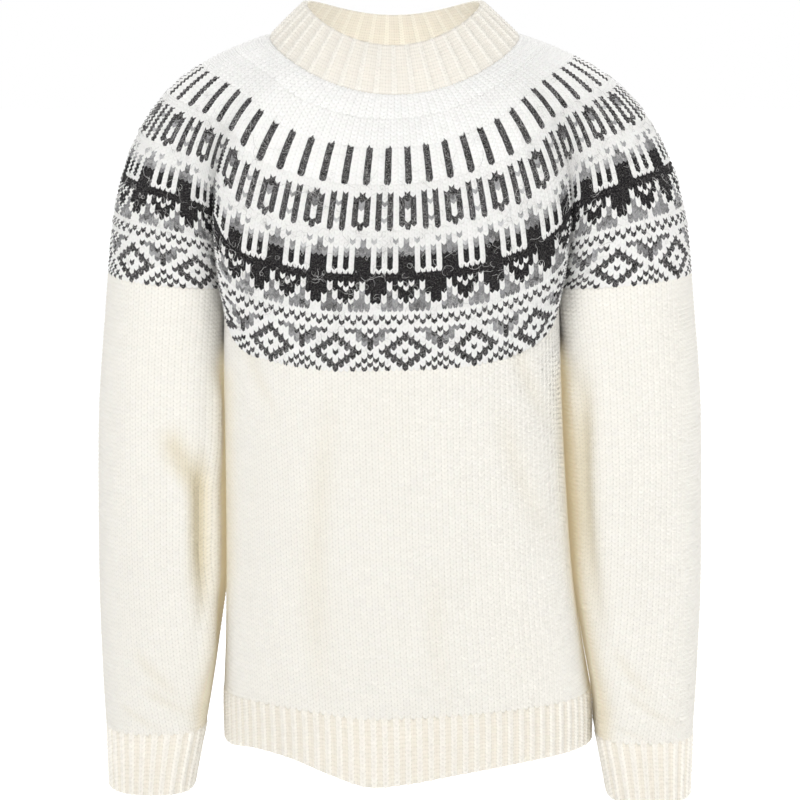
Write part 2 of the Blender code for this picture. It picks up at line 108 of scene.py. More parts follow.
@dataclass(frozen=True)
class Ring:
    """A ring of the neckband.

    Attributes:
        half_width: Half its size from side to side.
        half_depth: Half its size from front to back.
        middle: Where its middle is, to the viewer's right.
        front: Its height at the front.
        side: Its height at the sides.
        back: Its height at the back.
    """

    half_width: float
    half_depth: float
    middle: float
    front: float
    side: float
    back: float

    def at(self, turn: Array) -> Array:
        """The ring's points.

        Args:
            turn: Where round the ring, in radians from the front towards the viewer's right.

        Returns:
            The points.
        """
        even = (self.front + self.back) / 4 + self.side / 2
        once = (self.front - self.back) / 2
        twice = (self.front + self.back) / 4 - self.side / 2
        x = self.middle + self.half_width * np.sin(turn)
        y = -self.half_depth * np.cos(turn)
        return np.stack([x, y, even + once * np.cos(turn) + twice * np.cos(2 * turn)], -1)


# How many stitches go round each tube of the form
YOKE_STITCHES = 264
BODY_STITCHES = 168
SLEEVE_STITCHES = 72
FRONT_STITCHES = 72
ARM_STITCHES = 60
UNDERARM_STITCHES = 12

# The cloth, and the ribbed edges
WALL = 3.0
SLEEVE_SEAM = 0.3
NECK_RIBS = 43
HEM_RIBS = 88
CUFF_RIBS = 26
CUFF_HEIGHT = 59.0
HEM_MEAN = -660.0
HEM_RIB_TOP = -606.0
HEM_WAVE_LEFT_AT_RIB_TOP = 0.3

# The underarm, where body, sleeve and yoke meet
UNDERARM_HEIGHT = -218.0
UNDERARM_HALF_DEPTH = 33.0
SLEEVE_CLEARANCE = 2.0

# The body's sections, from the chest down
BODY = Table(
    ("height", "half_width", "front", "back", "middle", "pinch"),
    (
        (-218.0, 163.0, 119.0, 112.0, -8.0, 12.0),
        (-300.0, 165.0, 119.0, 110.0, -7.0, 11.0),
        (-400.0, 168.0, 117.0, 108.0, -4.0, 11.0),
        (-500.0, 172.0, 116.0, 108.0, 0.0, 9.0),
        (-560.0, 175.0, 116.0, 109.0, 4.0, 5.0),
        (-610.0, 176.0, 115.0, 110.0, 7.0, 0.0),
        (-680.0, 176.0, 114.0, 111.0, 8.0, 0.0),
    ),
)
BODY_SQUARENESS = 2.5
PINCH_STITCHES = 13.0

# The sleeve's sections, from the upper arm to the wrist
SLEEVE = Table(
    ("height", "outer", "inner", "half_depth", "middle"),
    (
        (-208.0, 274.0, 148.0, 66.0, 0.0),
        (-330.0, 284.0, 152.0, 64.0, -3.0),
        (-430.0, 286.0, 158.0, 61.0, -7.0),
        (-513.0, 286.0, 167.0, 58.0, -11.0),
        (-560.0, 284.5, 174.0, 55.0, -14.0),
        (-600.0, 283.0, 180.0, 51.0, -16.0),
        (-640.0, 281.0, 187.0, 45.0, -18.0),
        (-680.0, 280.0, 195.0, 39.0, -20.0),
        (-712.0, 279.0, 201.0, 36.0, -21.0),
    ),
)
SLEEVE_OUTER_SQUARENESS = 2.1
SLEEVE_INNER_SQUARENESS = 3.0
CUFF_ENDS = {1: -708.0, -1: -699.0}

# Heights along the yoke's lower edge, from the middle of the front or the back to each arm
EDGE = Table(
    ("stitch", "front_left", "front_right", "back"),
    (
        (0.0, -285.0, -285.0, -276.0),
        (12.0, -282.0, -285.0, -275.0),
        (20.0, -274.0, -279.0, -269.0),
        (27.0, -259.0, -268.0, -257.0),
        (30.0, -246.0, -254.0, -244.0),
        (33.0, -228.0, -230.0, -227.0),
        (36.0, -218.0, -218.0, -218.0),
    ),
)
SLEEVE_EDGE_MIDDLE = -207.0

# How far a tube's own section gives way to its upper edge: in stitches from the underarm's corners,
# and in mm down from the edge
BODY_CORNER_REACH = 14
SLEEVE_CORNER_REACH = 16
BODY_EDGE_REACH = 90.0
SLEEVE_EDGE_REACH = 70.0

# The hem's lower edge: the stitch number from the front middle and its height
HEM = Table(
    ("stitch", "height"),
    (
        (-42.0, -655.0),
        (-34.0, -652.0),
        (-27.0, -646.0),
        (-20.0, -650.0),
        (-13.0, -663.0),
        (-7.0, -673.0),
        (0.0, -670.0),
        (7.0, -663.0),
        (14.0, -657.0),
        (21.0, -653.0),
        (28.0, -652.0),
        (42.0, -656.0),
        (84.0, -661.0),
        (126.0, -655.0),
    ),
)

# The rings of the neckband: half sizes, the middle, and heights at the front, side and back
NECK_BASE = Ring(115.0, 78.0, -5.0, -37.0, 14.0, 0.0)
NECK_TOP = Ring(84.0, 67.0, -6.0, 3.0, 43.5, 32.5)
NECK_BULGE = 0.5

# How each wale of the yoke leaves its lower edge and reaches the neck, from the front round
WALES = Table(
    ("stitch", "rise_x", "rise_y", "rise_z", "fall_x", "fall_y", "fall_z"),
    (
        (0.0, 0.0, -3.0, 100.0, 0.0, -40.0, -65.0),
        (20.0, 2.0, -4.0, 100.0, 45.0, -41.0, -44.0),
        (36.0, 18.0, -44.0, 62.0, 84.0, -50.0, -32.0),
        (50.0, 2.0, -6.0, 84.0, 100.0, -42.0, -25.0),
        (66.0, -9.0, 0.0, 126.0, 110.0, 0.0, -29.0),
        (82.0, 2.0, 6.0, 84.0, 100.0, 44.0, -30.0),
        (96.0, 18.0, 44.0, 62.0, 84.0, 54.0, -36.0),
        (112.0, 2.0, 6.0, 105.0, 45.0, 44.0, -48.0),
        (132.0, 0.0, 6.0, 110.0, 0.0, 42.0, -56.0),
    ),
)

# The pattern's rounds stand a little higher over one shoulder, by at most this share of a wale. The
# skew goes as the share's square times what is left of it, whose most is 1 / SKEW_PEAK.
YOKE_SKEW = 0.03
SKEW_PEAK = 6.75
WALE_SAMPLES = 97


def ease(x: Array) -> Array:
    """0 below 0, 1 above 1, and smooth between."""
    x = np.clip(x, 0.0, 1.0)
    return x * x * (3 - 2 * x)


def oval(angle: Array, a: Array, b: Array, n: Array) -> Array:
    """The radius of a rounded rectangle's outline at an angle from its b axis."""
    return (np.abs(np.sin(angle) / a) ** n + np.abs(np.cos(angle) / b) ** n) ** (-1 / n)


def even_angles(a: float, b: float, n: float, start: float, end: float, count: int) -> Array:
    """Angles that share an oval's outline out evenly between two angles.

    Args:
        a: Half the oval's size across.
        b: Half its size along its axis.
        n: How square it is; 2 is an ellipse.
        start: The first angle.
        end: The last angle.
        count: How many angles.

    Returns:
        The angles, from first to last.
    """
    angle = np.linspace(start, end, 600)
    radius = oval(angle, a, b, n)
    x, y = radius * np.sin(angle), radius * np.cos(angle)
    along = np.concatenate([[0], np.cumsum(np.hypot(np.diff(x), np.diff(y)))])
    return np.interp(np.linspace(0, along[-1], count), along, angle)


class Torso:
    """The outside of the body's tube, by stitch number round it from the front middle."""

    def __init__(self) -> None:
        """Share the stitches out evenly round the body's mean section."""
        quarter = BODY_STITCHES // 4
        mean = [BODY.column(name).mean() for name in ("half_width", "front", "back")]
        front = even_angles(mean[0], mean[1], BODY_SQUARENESS, 0, math.pi / 2, 200)
        back = even_angles(mean[0], mean[2], BODY_SQUARENESS, math.pi, math.pi / 2, 200)
        ends = [np.linspace(0, quarter, 200), np.linspace(quarter, 2 * quarter, 200)]
        self.stitches = np.concatenate(ends)
        self.angles = np.concatenate([front, back[::-1]])

    def at(self, stitch: Array, z: Array) -> Array:
        """The point of a stitch at a height.

        Args:
            stitch: Stitch numbers from the front middle.
            z: Heights.

        Returns:
            The points.
        """
        half = BODY_STITCHES / 2
        stitch = (np.asarray(stitch, float) + half) % BODY_STITCHES - half
        angle = np.interp(np.abs(stitch), self.stitches, self.angles)
        a = BODY.at("half_width", z)
        front = BODY.at("front", z)
        back = BODY.at("back", z)
        middle = BODY.at("middle", z)
        b = np.where(np.cos(angle) > 0, front, back)
        radius = oval(angle, a, b, BODY_SQUARENESS)
        off = np.clip((np.abs(stitch) - BODY_STITCHES / 4) / PINCH_STITCHES, -1, 1)
        pinch = BODY.at("pinch", z) * np.cos(off * math.pi / 2) ** 2
        x = middle + np.sign(stitch) * (radius * np.sin(angle) - pinch)
        return np.stack([x, -radius * np.cos(angle), z + 0 * x], -1)

    def side(self, z: Array, side: int) -> Array:
        """How far out the body's side is at a height."""
        return side * self.at(side * BODY_STITCHES / 4, z)[..., 0]


class Arm:
    """The outside of a sleeve's tube, by stitch number from the front of the underarm, round the outside."""

    def __init__(self, torso: Torso, side: int) -> None:
        """Share the stitches out round the sleeve's top section.

        Args:
            torso: The body's tube, which the sleeve stays clear of.
            side: 1 for the viewer's right, -1 for the left.
        """
        self.torso, self.side = torso, side
        outer = SLEEVE.at("outer", UNDERARM_HEIGHT)
        a = (outer - torso.side(UNDERARM_HEIGHT, side)) / 2
        b = SLEEVE.at("half_depth", UNDERARM_HEIGHT)
        corner = math.pi / 2 + math.atan2(a * 0.95, UNDERARM_HALF_DEPTH)
        front = even_angles(a, b, SLEEVE_OUTER_SQUARENESS, -corner, corner, 400)
        rest = even_angles(a, b, SLEEVE_INNER_SQUARENESS, corner, 2 * math.pi - corner, 100)
        ends = [np.linspace(0, ARM_STITCHES, 400), np.linspace(ARM_STITCHES, SLEEVE_STITCHES, 100)]
        self.stitches = np.concatenate(ends)
        self.angles = np.concatenate([front, rest])

    def at(self, stitch: Array, z: Array) -> Array:
        """The point of a stitch at a height; the angle is from the outer side.

        Args:
            stitch: Stitch numbers from the front of the underarm.
            z: Heights.

        Returns:
            The points.
        """
        stitch = np.asarray(stitch, float) % SLEEVE_STITCHES
        angle = np.interp(stitch, self.stitches, self.angles)
        outer = SLEEVE.at("outer", z)
        inner = SLEEVE.at("inner", z)
        inner = np.maximum(inner, self.torso.side(z, self.side) + SLEEVE_CLEARANCE)
        depth = SLEEVE.at("half_depth", z)
        middle = SLEEVE.at("middle", z)
        a = (outer - inner) / 2
        n = np.where(np.cos(angle) > 0, SLEEVE_OUTER_SQUARENESS, SLEEVE_INNER_SQUARENESS)
        radius = oval(angle, depth, a, n)
        x = self.side * ((outer + inner) / 2 + radius * np.cos(angle))
        return np.stack([x, middle + radius * np.sin(angle), z + 0 * x], -1)

    def girth(self, z: float) -> float:
        """The way round the sleeve at a height."""
        ring = self.at(np.linspace(0, SLEEVE_STITCHES, 145), z + np.zeros(145))
        return float(np.linalg.norm(np.diff(ring, axis=0), axis=1).sum())


class Form:
    """The whole sweater's outside: one surface for each tube, as the solids have.

    Only the neckband's top differs: it is a little lower than the solid's at the sides and the back.
    """

    def __init__(self) -> None:
        """Make the body's and the sleeves' tubes."""
        self.torso = Torso()
        self.arms = {1: Arm(self.torso, 1), -1: Arm(self.torso, -1)}

    def underarm(self, side: int, share: Array) -> Array:
        """A point of the seam between body and sleeve, from its front end to its back end.

        Args:
            side: 1 for the viewer's right, -1 for the left.
            share: How far along the seam, from 0 to 1.

        Returns:
            The points.
        """
        share = np.asarray(share, float)
        stitch = FRONT_STITCHES / 2 + UNDERARM_STITCHES * share
        point = self.torso.at(side * stitch, UNDERARM_HEIGHT + 0 * share)
        point[..., 1] = UNDERARM_HALF_DEPTH * (2 * share - 1)
        return point

    def edge_height(self, stitch: Array) -> Array:
        """The height of the yoke's lower edge on the front or the back, for a body stitch.

        Args:
            stitch: Body stitches from the front middle.

        Returns:
            The heights.
        """
        half = BODY_STITCHES / 2
        stitch = (np.asarray(stitch, float) + half) % BODY_STITCHES - half
        left = EDGE.at("front_left", np.abs(stitch))
        right = EDGE.at("front_right", np.abs(stitch))
        back = EDGE.at("back", half - np.abs(stitch))
        return np.where(np.abs(stitch) > half / 2, back, np.where(stitch > 0, left, right))

    def body_edge(self, stitch: Array) -> Array:
        """The body's upper edge, by body stitch: front, underarm, back and underarm.

        Args:
            stitch: Body stitches from the front middle.

        Returns:
            The points.
        """
        half = BODY_STITCHES / 2
        stitch = (np.asarray(stitch, float) + half) % BODY_STITCHES - half
        away, side = np.abs(stitch), np.where(stitch < 0, -1, 1)
        front_end = FRONT_STITCHES / 2
        back_start = front_end + UNDERARM_STITCHES
        point = self.torso.at(stitch, self.edge_height(stitch))
        for s in (-1, 1):
            mine = side == s
            share = np.clip((away - front_end) / UNDERARM_STITCHES, 0, 1)
            seam = self.underarm(s, share)
            under = mine & (away >= front_end) & (away <= back_start)
            ends = ((front_end, 0.0, away < front_end), (back_start, 1.0, away > back_start))
            for corner, where, beside in ends:
                miss = self.underarm(s, where) - self.torso.at(s * corner, UNDERARM_HEIGHT)
                near = ease(1 - np.abs(away - corner) / BODY_CORNER_REACH)[..., None]
                point = np.where((mine & beside)[..., None], point + near * miss, point)
            point = np.where(under[..., None], seam, point)
        return point

    def sleeve_edge(self, side: int, stitch: Array) -> Array:
        """A sleeve's upper edge, by sleeve stitch: round the outside, then along the underarm.

        Args:
            side: 1 for the viewer's right, -1 for the left.
            stitch: Sleeve stitches from the front of the underarm.

        Returns:
            The points.
        """
        stitch = np.asarray(stitch, float) % SLEEVE_STITCHES
        arm = self.arms[side]
        arc = np.clip(stitch / ARM_STITCHES, 0, 1)
        height = UNDERARM_HEIGHT + (SLEEVE_EDGE_MIDDLE - UNDERARM_HEIGHT) * np.sin(arc * math.pi) ** 2
        point = arm.at(stitch, height)
        starts = 1 - stitch / SLEEVE_CORNER_REACH
        ends = 1 - (ARM_STITCHES - stitch) / SLEEVE_CORNER_REACH
        for corner, where, near in ((0.0, 0.0, starts), (ARM_STITCHES, 1.0, ends)):
            miss = self.underarm(side, where) - arm.at(corner, UNDERARM_HEIGHT)
            point = point + ease(near)[..., None] * miss
        share = 1 - np.clip((stitch - ARM_STITCHES) / UNDERARM_STITCHES, 0, 1)
        seam = self.underarm(side, share)
        return np.where((stitch > ARM_STITCHES)[..., None], seam, point)

    def yoke_edge(self, stitch: Array) -> Array:
        """The yoke's lower edge, by yoke stitch from the front middle.

        Args:
            stitch: Yoke stitches from the front middle.

        Returns:
            The points.
        """
        half = YOKE_STITCHES / 2
        stitch = (np.asarray(stitch, float) + half) % YOKE_STITCHES - half
        away, side = np.abs(stitch), np.where(stitch < 0, -1, 1)
        arm_start = FRONT_STITCHES / 2
        arm_end = arm_start + ARM_STITCHES
        front = self.body_edge(side * np.minimum(away, arm_start))
        back = self.body_edge(side * (BODY_STITCHES / 2 - np.maximum(half - away, 0)))
        point = np.where((away <= arm_start)[..., None], front, back)
        for s in (-1, 1):
            arm = self.sleeve_edge(s, np.clip(away - arm_start, 0, ARM_STITCHES))
            on_arm = (side == s) & (away > arm_start) & (away < arm_end)
            point = np.where(on_arm[..., None], arm, point)
        return point

    def neck_at(self, turn: Array, share: Array) -> Array:
        """The neckband's outside, from its base to its top.

        Args:
            turn: Where round the neck, in radians from the front.
            share: How far up the band, from 0 to 1.

        Returns:
            The points.
        """
        base, top = NECK_BASE.at(turn), NECK_TOP.at(turn)
        share = np.asarray(share, float)[..., None]
        out = np.stack([np.sin(turn), -np.cos(turn), 0 * turn], -1)
        return base + (top - base) * share + out * NECK_BULGE * np.sin(share * math.pi)

    def wales(self, stitch: Array) -> tuple[Array, Array, Array, Array]:
        """The four points that shape each of the yoke's wales.

        Args:
            stitch: Yoke stitches from the front middle.

        Returns:
            The wale's foot, the point it rises to, the point it falls from, and its head.
        """
        half = YOKE_STITCHES / 2
        stitch = (np.asarray(stitch, float) + half) % YOKE_STITCHES - half
        away, side = np.abs(stitch), np.sign(stitch)
        at = WALES.column("stitch")
        at = np.concatenate([-at[1:2], at, 2 * half - at[-2:-1]])
        hooks = []
        for kind in ("rise", "fall"):
            parts = []
            for axis, turns in (("x", -1), ("y", 1), ("z", 1)):
                v = WALES.column(f"{kind}_{axis}")
                v = np.concatenate([turns * v[1:2], v, turns * v[-2:-1]])
                parts.append(smooth(at, v, away))
            parts[0] = parts[0] * np.where(side == 0, 1, side)
            hooks.append(np.stack(parts, -1))
        foot = self.yoke_edge(stitch)
        head = NECK_BASE.at(stitch / YOKE_STITCHES * 2 * math.pi)
        return foot, foot + hooks[0], head + hooks[1], head

    def yoke_at(self, stitch: Array, share: Array) -> Array:
        """The yoke's outside.

        Args:
            stitch: One yoke stitch number for each column of points.
            share: Rows by columns, each point's share of its wale's length.

        Returns:
            Rows by columns of points.
        """
        foot, rise, fall, head = self.wales(stitch)
        t = np.linspace(0, 1, WALE_SAMPLES)[:, None, None]
        fine = foot * (1 - t) ** 3 + rise * 3 * t * (1 - t) ** 2 + fall * 3 * t * t * (1 - t) + head * t**3
        along = np.linalg.norm(np.diff(fine, axis=0), axis=2).cumsum(axis=0)
        along = np.concatenate([np.zeros((1, along.shape[1])), along])
        turn = stitch / YOKE_STITCHES * 2 * math.pi
        share = share + YOKE_SKEW * np.sin(turn) * SKEW_PEAK * share**2 * (1 - share)
        points = np.empty((*share.shape, 3))
        for c in range(len(stitch)):
            want = share[:, c] * along[-1, c]
            for axis in range(3):
                points[:, c, axis] = np.interp(want, along[:, c], fine[:, c, axis])
        return points

    def hem_height(self, stitch: Array) -> Array:
        """The height of the hem's lower edge.

        Args:
            stitch: Body stitches from the front middle.

        Returns:
            The heights.
        """
        start = HEM.rows[0][0]
        stitch = (np.asarray(stitch, float) - start) % BODY_STITCHES + start
        return HEM.at("height", stitch)

    def rib_top(self, stitch: Array) -> Array:
        """The height where the body's plain knitting meets the hem's ribs."""
        return HEM_RIB_TOP + HEM_WAVE_LEFT_AT_RIB_TOP * (self.hem_height(stitch) - HEM_MEAN)

    def body_at(self, stitch: Array, share: Array) -> Array:
        """The body's outside, where share goes from 0 at the ribs to 1 at the yoke.

        Args:
            stitch: Body stitches from the front middle.
            share: How far up.

        Returns:
            The points.
        """
        edge, low = self.body_edge(stitch), self.rib_top(stitch)
        miss = edge - self.torso.at(stitch, edge[..., 2])
        z = low + (edge[..., 2] - low) * share
        near = ease(1 - (edge[..., 2] - z) / BODY_EDGE_REACH)[..., None]
        return self.torso.at(stitch, z) + near * miss

    def hem_at(self, stitch: Array, share: Array) -> Array:
        """The hem's outside, where share goes from 0 at its lower edge to 1 at the body."""
        low, high = self.hem_height(stitch), self.rib_top(stitch)
        return self.torso.at(stitch, low + (high - low) * share)

    def sleeve_at(self, side: int, stitch: Array, share: Array) -> Array:
        """A sleeve's outside, where share goes from 0 at its cuff to 1 at the yoke.

        Args:
            side: 1 for the viewer's right, -1 for the left.
            stitch: Sleeve stitches from the front of the underarm.
            share: How far up.

        Returns:
            The points.
        """
        edge = self.sleeve_edge(side, stitch)
        low = CUFF_ENDS[side] + CUFF_HEIGHT
        arm = self.arms[side]
        miss = edge - arm.at(stitch, edge[..., 2])
        z = low + (edge[..., 2] - low) * share
        near = ease(1 - (edge[..., 2] - z) / SLEEVE_EDGE_REACH)[..., None]
        return arm.at(stitch, z) + near * miss + np.array([side * SLEEVE_SEAM, 0, 0])

    def cuff_at(self, side: int, stitch: Array, share: Array) -> Array:
        """A cuff's outside, where share goes from 0 at its lower edge to 1 at the sleeve."""
        return self.arms[side].at(stitch, CUFF_ENDS[side] + CUFF_HEIGHT * share + 0 * stitch)


class Yarn(Enum):
    """The yarns, each with its letter in the charts."""

    WHITE = "."
    GREY = "g"
    LIGHT = "l"
    CHARCOAL = "d"
    BLACK = "#"
    CREAM = "c"
    RIB = "r"


@dataclass(frozen=True)
class Dye:
    """How one yarn looks, as linear values.

    Attributes:
        colour: The yarn's own colour.
        heather: How much its fibres differ in colour, from 0 to 1.
        uneven: How much one stitch differs from the next.
    """

    colour: tuple[float, float, float]
    heather: float
    uneven: float


DYES = {
    Yarn.WHITE: Dye((0.96, 0.955, 0.935), 0.05, 0.009),
    Yarn.CREAM: Dye((0.955, 0.93, 0.865), 0.04, 0.008),
    Yarn.RIB: Dye((0.925, 0.89, 0.815), 0.04, 0.008),
    Yarn.LIGHT: Dye((0.5, 0.5, 0.505), 0.7, 0.26),
    Yarn.GREY: Dye((0.28, 0.28, 0.285), 0.9, 0.42),
    Yarn.CHARCOAL: Dye((0.032, 0.03, 0.033), 1.0, 0.48),
    Yarn.BLACK: Dye((0.006, 0.005, 0.007), 0.3, 0.3),
}


@dataclass(frozen=True)
class Wale:
    """One column of points in a repeat of knitting.

    Attributes:
        at: Where it stands, in stitches from the middle of the repeat's first stitch.
        rise: How many rows it lies above the middle of the stitch, which makes the V.
        join: How far it is raised at the joins between rows, in mm.
        leg: How far it is raised half way up each row, in mm.
        inside: How far the inside is raised at it, in mm.
    """

    at: float
    rise: float
    join: float
    leg: float
    inside: float = 0.0


@dataclass(frozen=True)
class Knit:
    """A kind of knitting: its repeat and how coarse its inside is.

    Attributes:
        stitches: How many stitches one repeat has.
        wales: The repeat's columns of points.
        inside_step: How many columns the inside's wall takes at once.
        inside_rings: How many rings the inside's wall takes at once.
        purl_painted_shade: The shares of the colour left on the purl stitches between ribs, as painted shade
            for their sunken place.
    """

    stitches: int
    wales: tuple[Wale, ...]
    inside_step: int
    inside_rings: int
    purl_painted_shade: tuple[float, float, float] = (1.0, 1.0, 1.0)


RISE = 0.62
PLAIN = Knit(
    1,
    (
        Wale(-0.5, RISE, -1.5, -1.2),
        Wale(-0.25, RISE / 2, -0.6, 0.9),
        Wale(0.0, 0.0, -1.2, -0.7),
        Wale(0.25, RISE / 2, -0.6, 0.9),
    ),
    4,
    4,
)
ONE_BY_ONE = Knit(
    2,
    (
        Wale(-0.5, RISE, -0.9, -0.6),
        Wale(-0.25, RISE / 2, 0.5, 1.6),
        Wale(0.0, 0.0, 0.1, 0.7),
        Wale(0.25, RISE / 2, 0.5, 1.6),
        Wale(0.5, RISE, -0.9, -0.6),
        Wale(0.83, RISE, -2.1, -1.5),
        Wale(1.17, RISE, -2.1, -1.5),
    ),
    7,
    4,
    (0.915, 0.9, 0.87),
)
ONE_BY_TWO = Knit(
    3,
    (
        Wale(-0.5, RISE, -1.2, -0.9, -0.3),
        Wale(-0.25, RISE / 2, 0.6, 1.5, -0.6),
        Wale(0.0, 0.0, 0.2, 0.6, -0.8),
        Wale(0.25, RISE / 2, 0.6, 1.5, -0.6),
        Wale(0.5, RISE, -1.2, -0.9, -0.3),
        Wale(1.0, RISE, -1.9, -0.7, 0.9),
        Wale(1.5, RISE, -1.9, -1.1, 0.3),
        Wale(2.0, RISE, -1.9, -0.7, 0.9),
    ),
    1,
    1,
    (0.95, 0.94, 0.93),
)


class Closing(Enum):
    """How a wall of knitting closes round."""

    ROUND = "a tube"
    SIDED = "a part of a tube with two side edges"
    TAPERED = "a tube that loses stitches along one line"


class Edge(Enum):
    """What becomes of a wall's upper or lower edge."""

    LAPS = "it lies over the knitting beside it"
    PICKED = "it is picked up in a line from the knitting beside it"
    TUCKED = "it goes on under the knitting beside it"
    FREE = "it is a rounded edge of its own"


# How far an edge goes on past its last row, in rows, and how deep it lies, in mm
TUCK_ROWS = 1.0
TUCK_DEPTH = -1.1
PICKED_ROWS = 0.6
PICKED_DEPTH = -0.2
EDGE_ROWS = 0.25
EDGE_DEPTH = -1.5

# How far the yarn strays: in stitches over, in rows up, and in mm out of the cloth
SLIP_OVER = 0.016
SLIP_UP = 0.022
SLIP_OUT = 0.03

# Painted shade in folds: the fold depth in mm that gets all of it, and the shares of the wool's colour left
# there
DEEP_FOLD = 10.0
FOLD_PAINTED_SHADE = (0.86, 0.79, 0.62)

# The line where a sleeve and the body lie together: how far out it is at depths below the neck
LINE_DEPTHS = (300.0, 400.0, 480.0, 560.0, 620.0)
LINE_LEFT = (163.0, 163.0, 164.0, 174.0, 186.0)
LINE_RIGHT = (151.0, 156.0, 163.0, 178.0, 190.0)

# Painted shade near that line: how far it reaches, the shares of the wool's colour left at the line, and the
# height and fade where it starts
NEAR_REACH = 9.0
GAP_PAINTED_SHADE = (1.0, 0.95, 0.83)
NEAR_TOP = -270.0
NEAR_FADE = 40.0

# A painted glow that the wool emits deep in the gap at that line: its colour, how far it reaches from the
# line, how near the front and back it fades out, and the heights and fades where it starts and ends
PAINTED_GAP_GLOW = (0.19, 0.165, 0.115, 1.0)
GLOW_REACH = 6.0
GLOW_MOUTH = 58.0
GLOW_MOUTH_FADE = 20.0
GLOW_TOP = -262.0
GLOW_TOP_FADE = 30.0
GLOW_END = -660.0
GLOW_END_FADE = 60.0


def beside(points: Array) -> Array:
    """How far points are from the line where a sleeve and the body lie together, in mm.

    Args:
        points: Points of the cloth.

    Returns:
        The distances, above 0 on the sleeve's side.
    """
    x, z = points[..., 0], points[..., 2]
    left, right = (np.interp(-z, LINE_DEPTHS, line) for line in (LINE_LEFT, LINE_RIGHT))
    return np.abs(x) - np.where(x > 0, right, left)


def painted_gap_shade(points: Array) -> Array:
    """Painted shade, darker and warmer, where a sleeve and the body lie together, as shares of the colour.
    """
    near = np.exp(-((beside(points) / NEAR_REACH) ** 2)) * ease((NEAR_TOP - points[..., 2]) / NEAR_FADE)
    return 1 - near[..., None] * (1 - np.array(GAP_PAINTED_SHADE))


def painted_gap_glow(points: Array) -> Array:
    """How strongly a painted glow is laid on deep in the gap where a sleeve and the body lie together, from
    0 to 1.

    Args:
        points: Points of the cloth.

    Returns:
        The glow's shares.
    """
    y, z = points[..., 1], points[..., 2]
    near = np.exp(-((beside(points) / GLOW_REACH) ** 2))
    deep = ease((GLOW_MOUTH - np.abs(y)) / GLOW_MOUTH_FADE)
    high = ease((GLOW_TOP - z) / GLOW_TOP_FADE) * ease((z - GLOW_END) / GLOW_END_FADE)
    return near * deep * high


@dataclass
class Tube:
    """One wall of knitting, before it is a mesh.

    Attributes:
        surface: The outside's points for stitches and rows.
        turns: 1 where stitches count towards the viewer's right at the front, seen from outside, or -1.
        first: The number of the first stitch.
        stitches: How many stitches there are.
        rows: How many rows there are.
        knit: The kind of knitting.
        outside: Each stitch's colour on the outside, rows by stitches by red, green, blue and heather.
        inside: The same on the inside.
        lower: What becomes of the lower edge.
        upper: What becomes of the upper edge.
        closing: How it closes round.
        reach: For a tapered tube, how many stitches there are to each side of its middle at a row.
        folds: How far the cloth stands out of its surface at points, in mm.
    """

    surface: Surface
    turns: int
    first: int
    stitches: int
    rows: int
    knit: Knit
    outside: Array
    inside: Array
    lower: Edge
    upper: Edge
    closing: Closing = Closing.ROUND
    reach: Callable[[Array], Array] | None = None
    folds: Callable[[Array], Array] | None = None

    def columns(self) -> tuple[Array, Array, Array, Array, Array]:
        """The columns' places, rises and reliefs, one value for each column of points.

        Returns:
            Each column's stitch, rise, relief at the joins, relief on the legs, and inside relief.
        """
        repeats = self.stitches // self.knit.stitches
        start = np.arange(repeats)[:, None] * self.knit.stitches + self.first
        parts = []
        for name in ("at", "rise", "join", "leg", "inside"):
            value = np.array([getattr(w, name) for w in self.knit.wales])[None]
            value = value + (start if name == "at" else 0 * start)
            value = value.reshape(-1)
            if self.closing is not Closing.ROUND:
                last = value[0] + self.stitches if name == "at" else value[0]
                value = np.append(value, last)
            parts.append(value)
        return tuple(parts)

    def rings(self) -> list[tuple[float, float, float | None]]:
        """Each ring's level in rows, its share of the columns' rise, and its relief where that is fixed.

        Returns:
            The rings, from the lowest.
        """
        rings: list[tuple[float, float, float | None]] = []
        if self.lower is Edge.FREE:
            rings.append((-EDGE_ROWS, 0.3, EDGE_DEPTH))
        if self.lower is Edge.PICKED:
            rings.append((-PICKED_ROWS, 0.0, PICKED_DEPTH))
        for j in range(2 * self.rows + 1):
            rings.append((j / 2, 1.0, None))
        if self.upper is Edge.TUCKED:
            rings.append((self.rows + TUCK_ROWS, 0.0, TUCK_DEPTH))
        if self.upper is Edge.FREE:
            rings.append((self.rows + RISE + EDGE_ROWS, 0.0, EDGE_DEPTH))
        return rings

    def relief(self, join: Array, leg: Array) -> Array:
        """How far the outside is raised, without folds.

        Args:
            join: Each column's relief at the joins between rows.
            leg: Each column's relief half way up each row.

        Returns:
            Rings by columns, in mm.
        """
        rings = self.rings()
        halfway = np.array([round(r[0] * 2) % 2 == 1 for r in rings])[:, None]
        fixed = np.array([np.nan if r[2] is None else r[2] for r in rings])[:, None]
        relief = np.where(halfway, leg[None], join[None])
        return np.where(np.isnan(fixed), relief, fixed)

    def slips(self, merged: Array) -> Array:
        """How far the yarn strays, as a share of its most: over, up and out.

        Args:
            merged: Rings by columns, where the taper has closed the columns up.

        Returns:
            Three by rings by columns.
        """
        random = np.random.default_rng(131 * self.stitches + self.rows)
        slips = np.clip(random.normal(0, 1, (3, *merged.shape)), -2, 2) * ~merged
        if self.closing is not Closing.ROUND:
            slips[:, :, [0, -1]] = 0
        return slips


def facing(surface: Surface, at: Array, row: Array, turns: int) -> tuple[Array, Array, Array, Array]:
    """A surface's points and directions.

    Args:
        surface: The surface.
        at: Stitches, one for each column or one for each point.
        row: Rows, for each point.
        turns: 1 or -1, as a Tube's turns.

    Returns:
        The points, and at each the way over one stitch, up one row and, as long as 1, out of the cloth.
    """
    points = surface(at, row)
    across = surface(at + 0.5, row) - surface(at - 0.5, row)
    up = surface(at, row + 0.5) - surface(at, row - 0.5)
    out = turns * np.cross(across, up)
    return points, across, up, out / np.maximum(np.linalg.norm(out, axis=-1, keepdims=True), 1e-9)


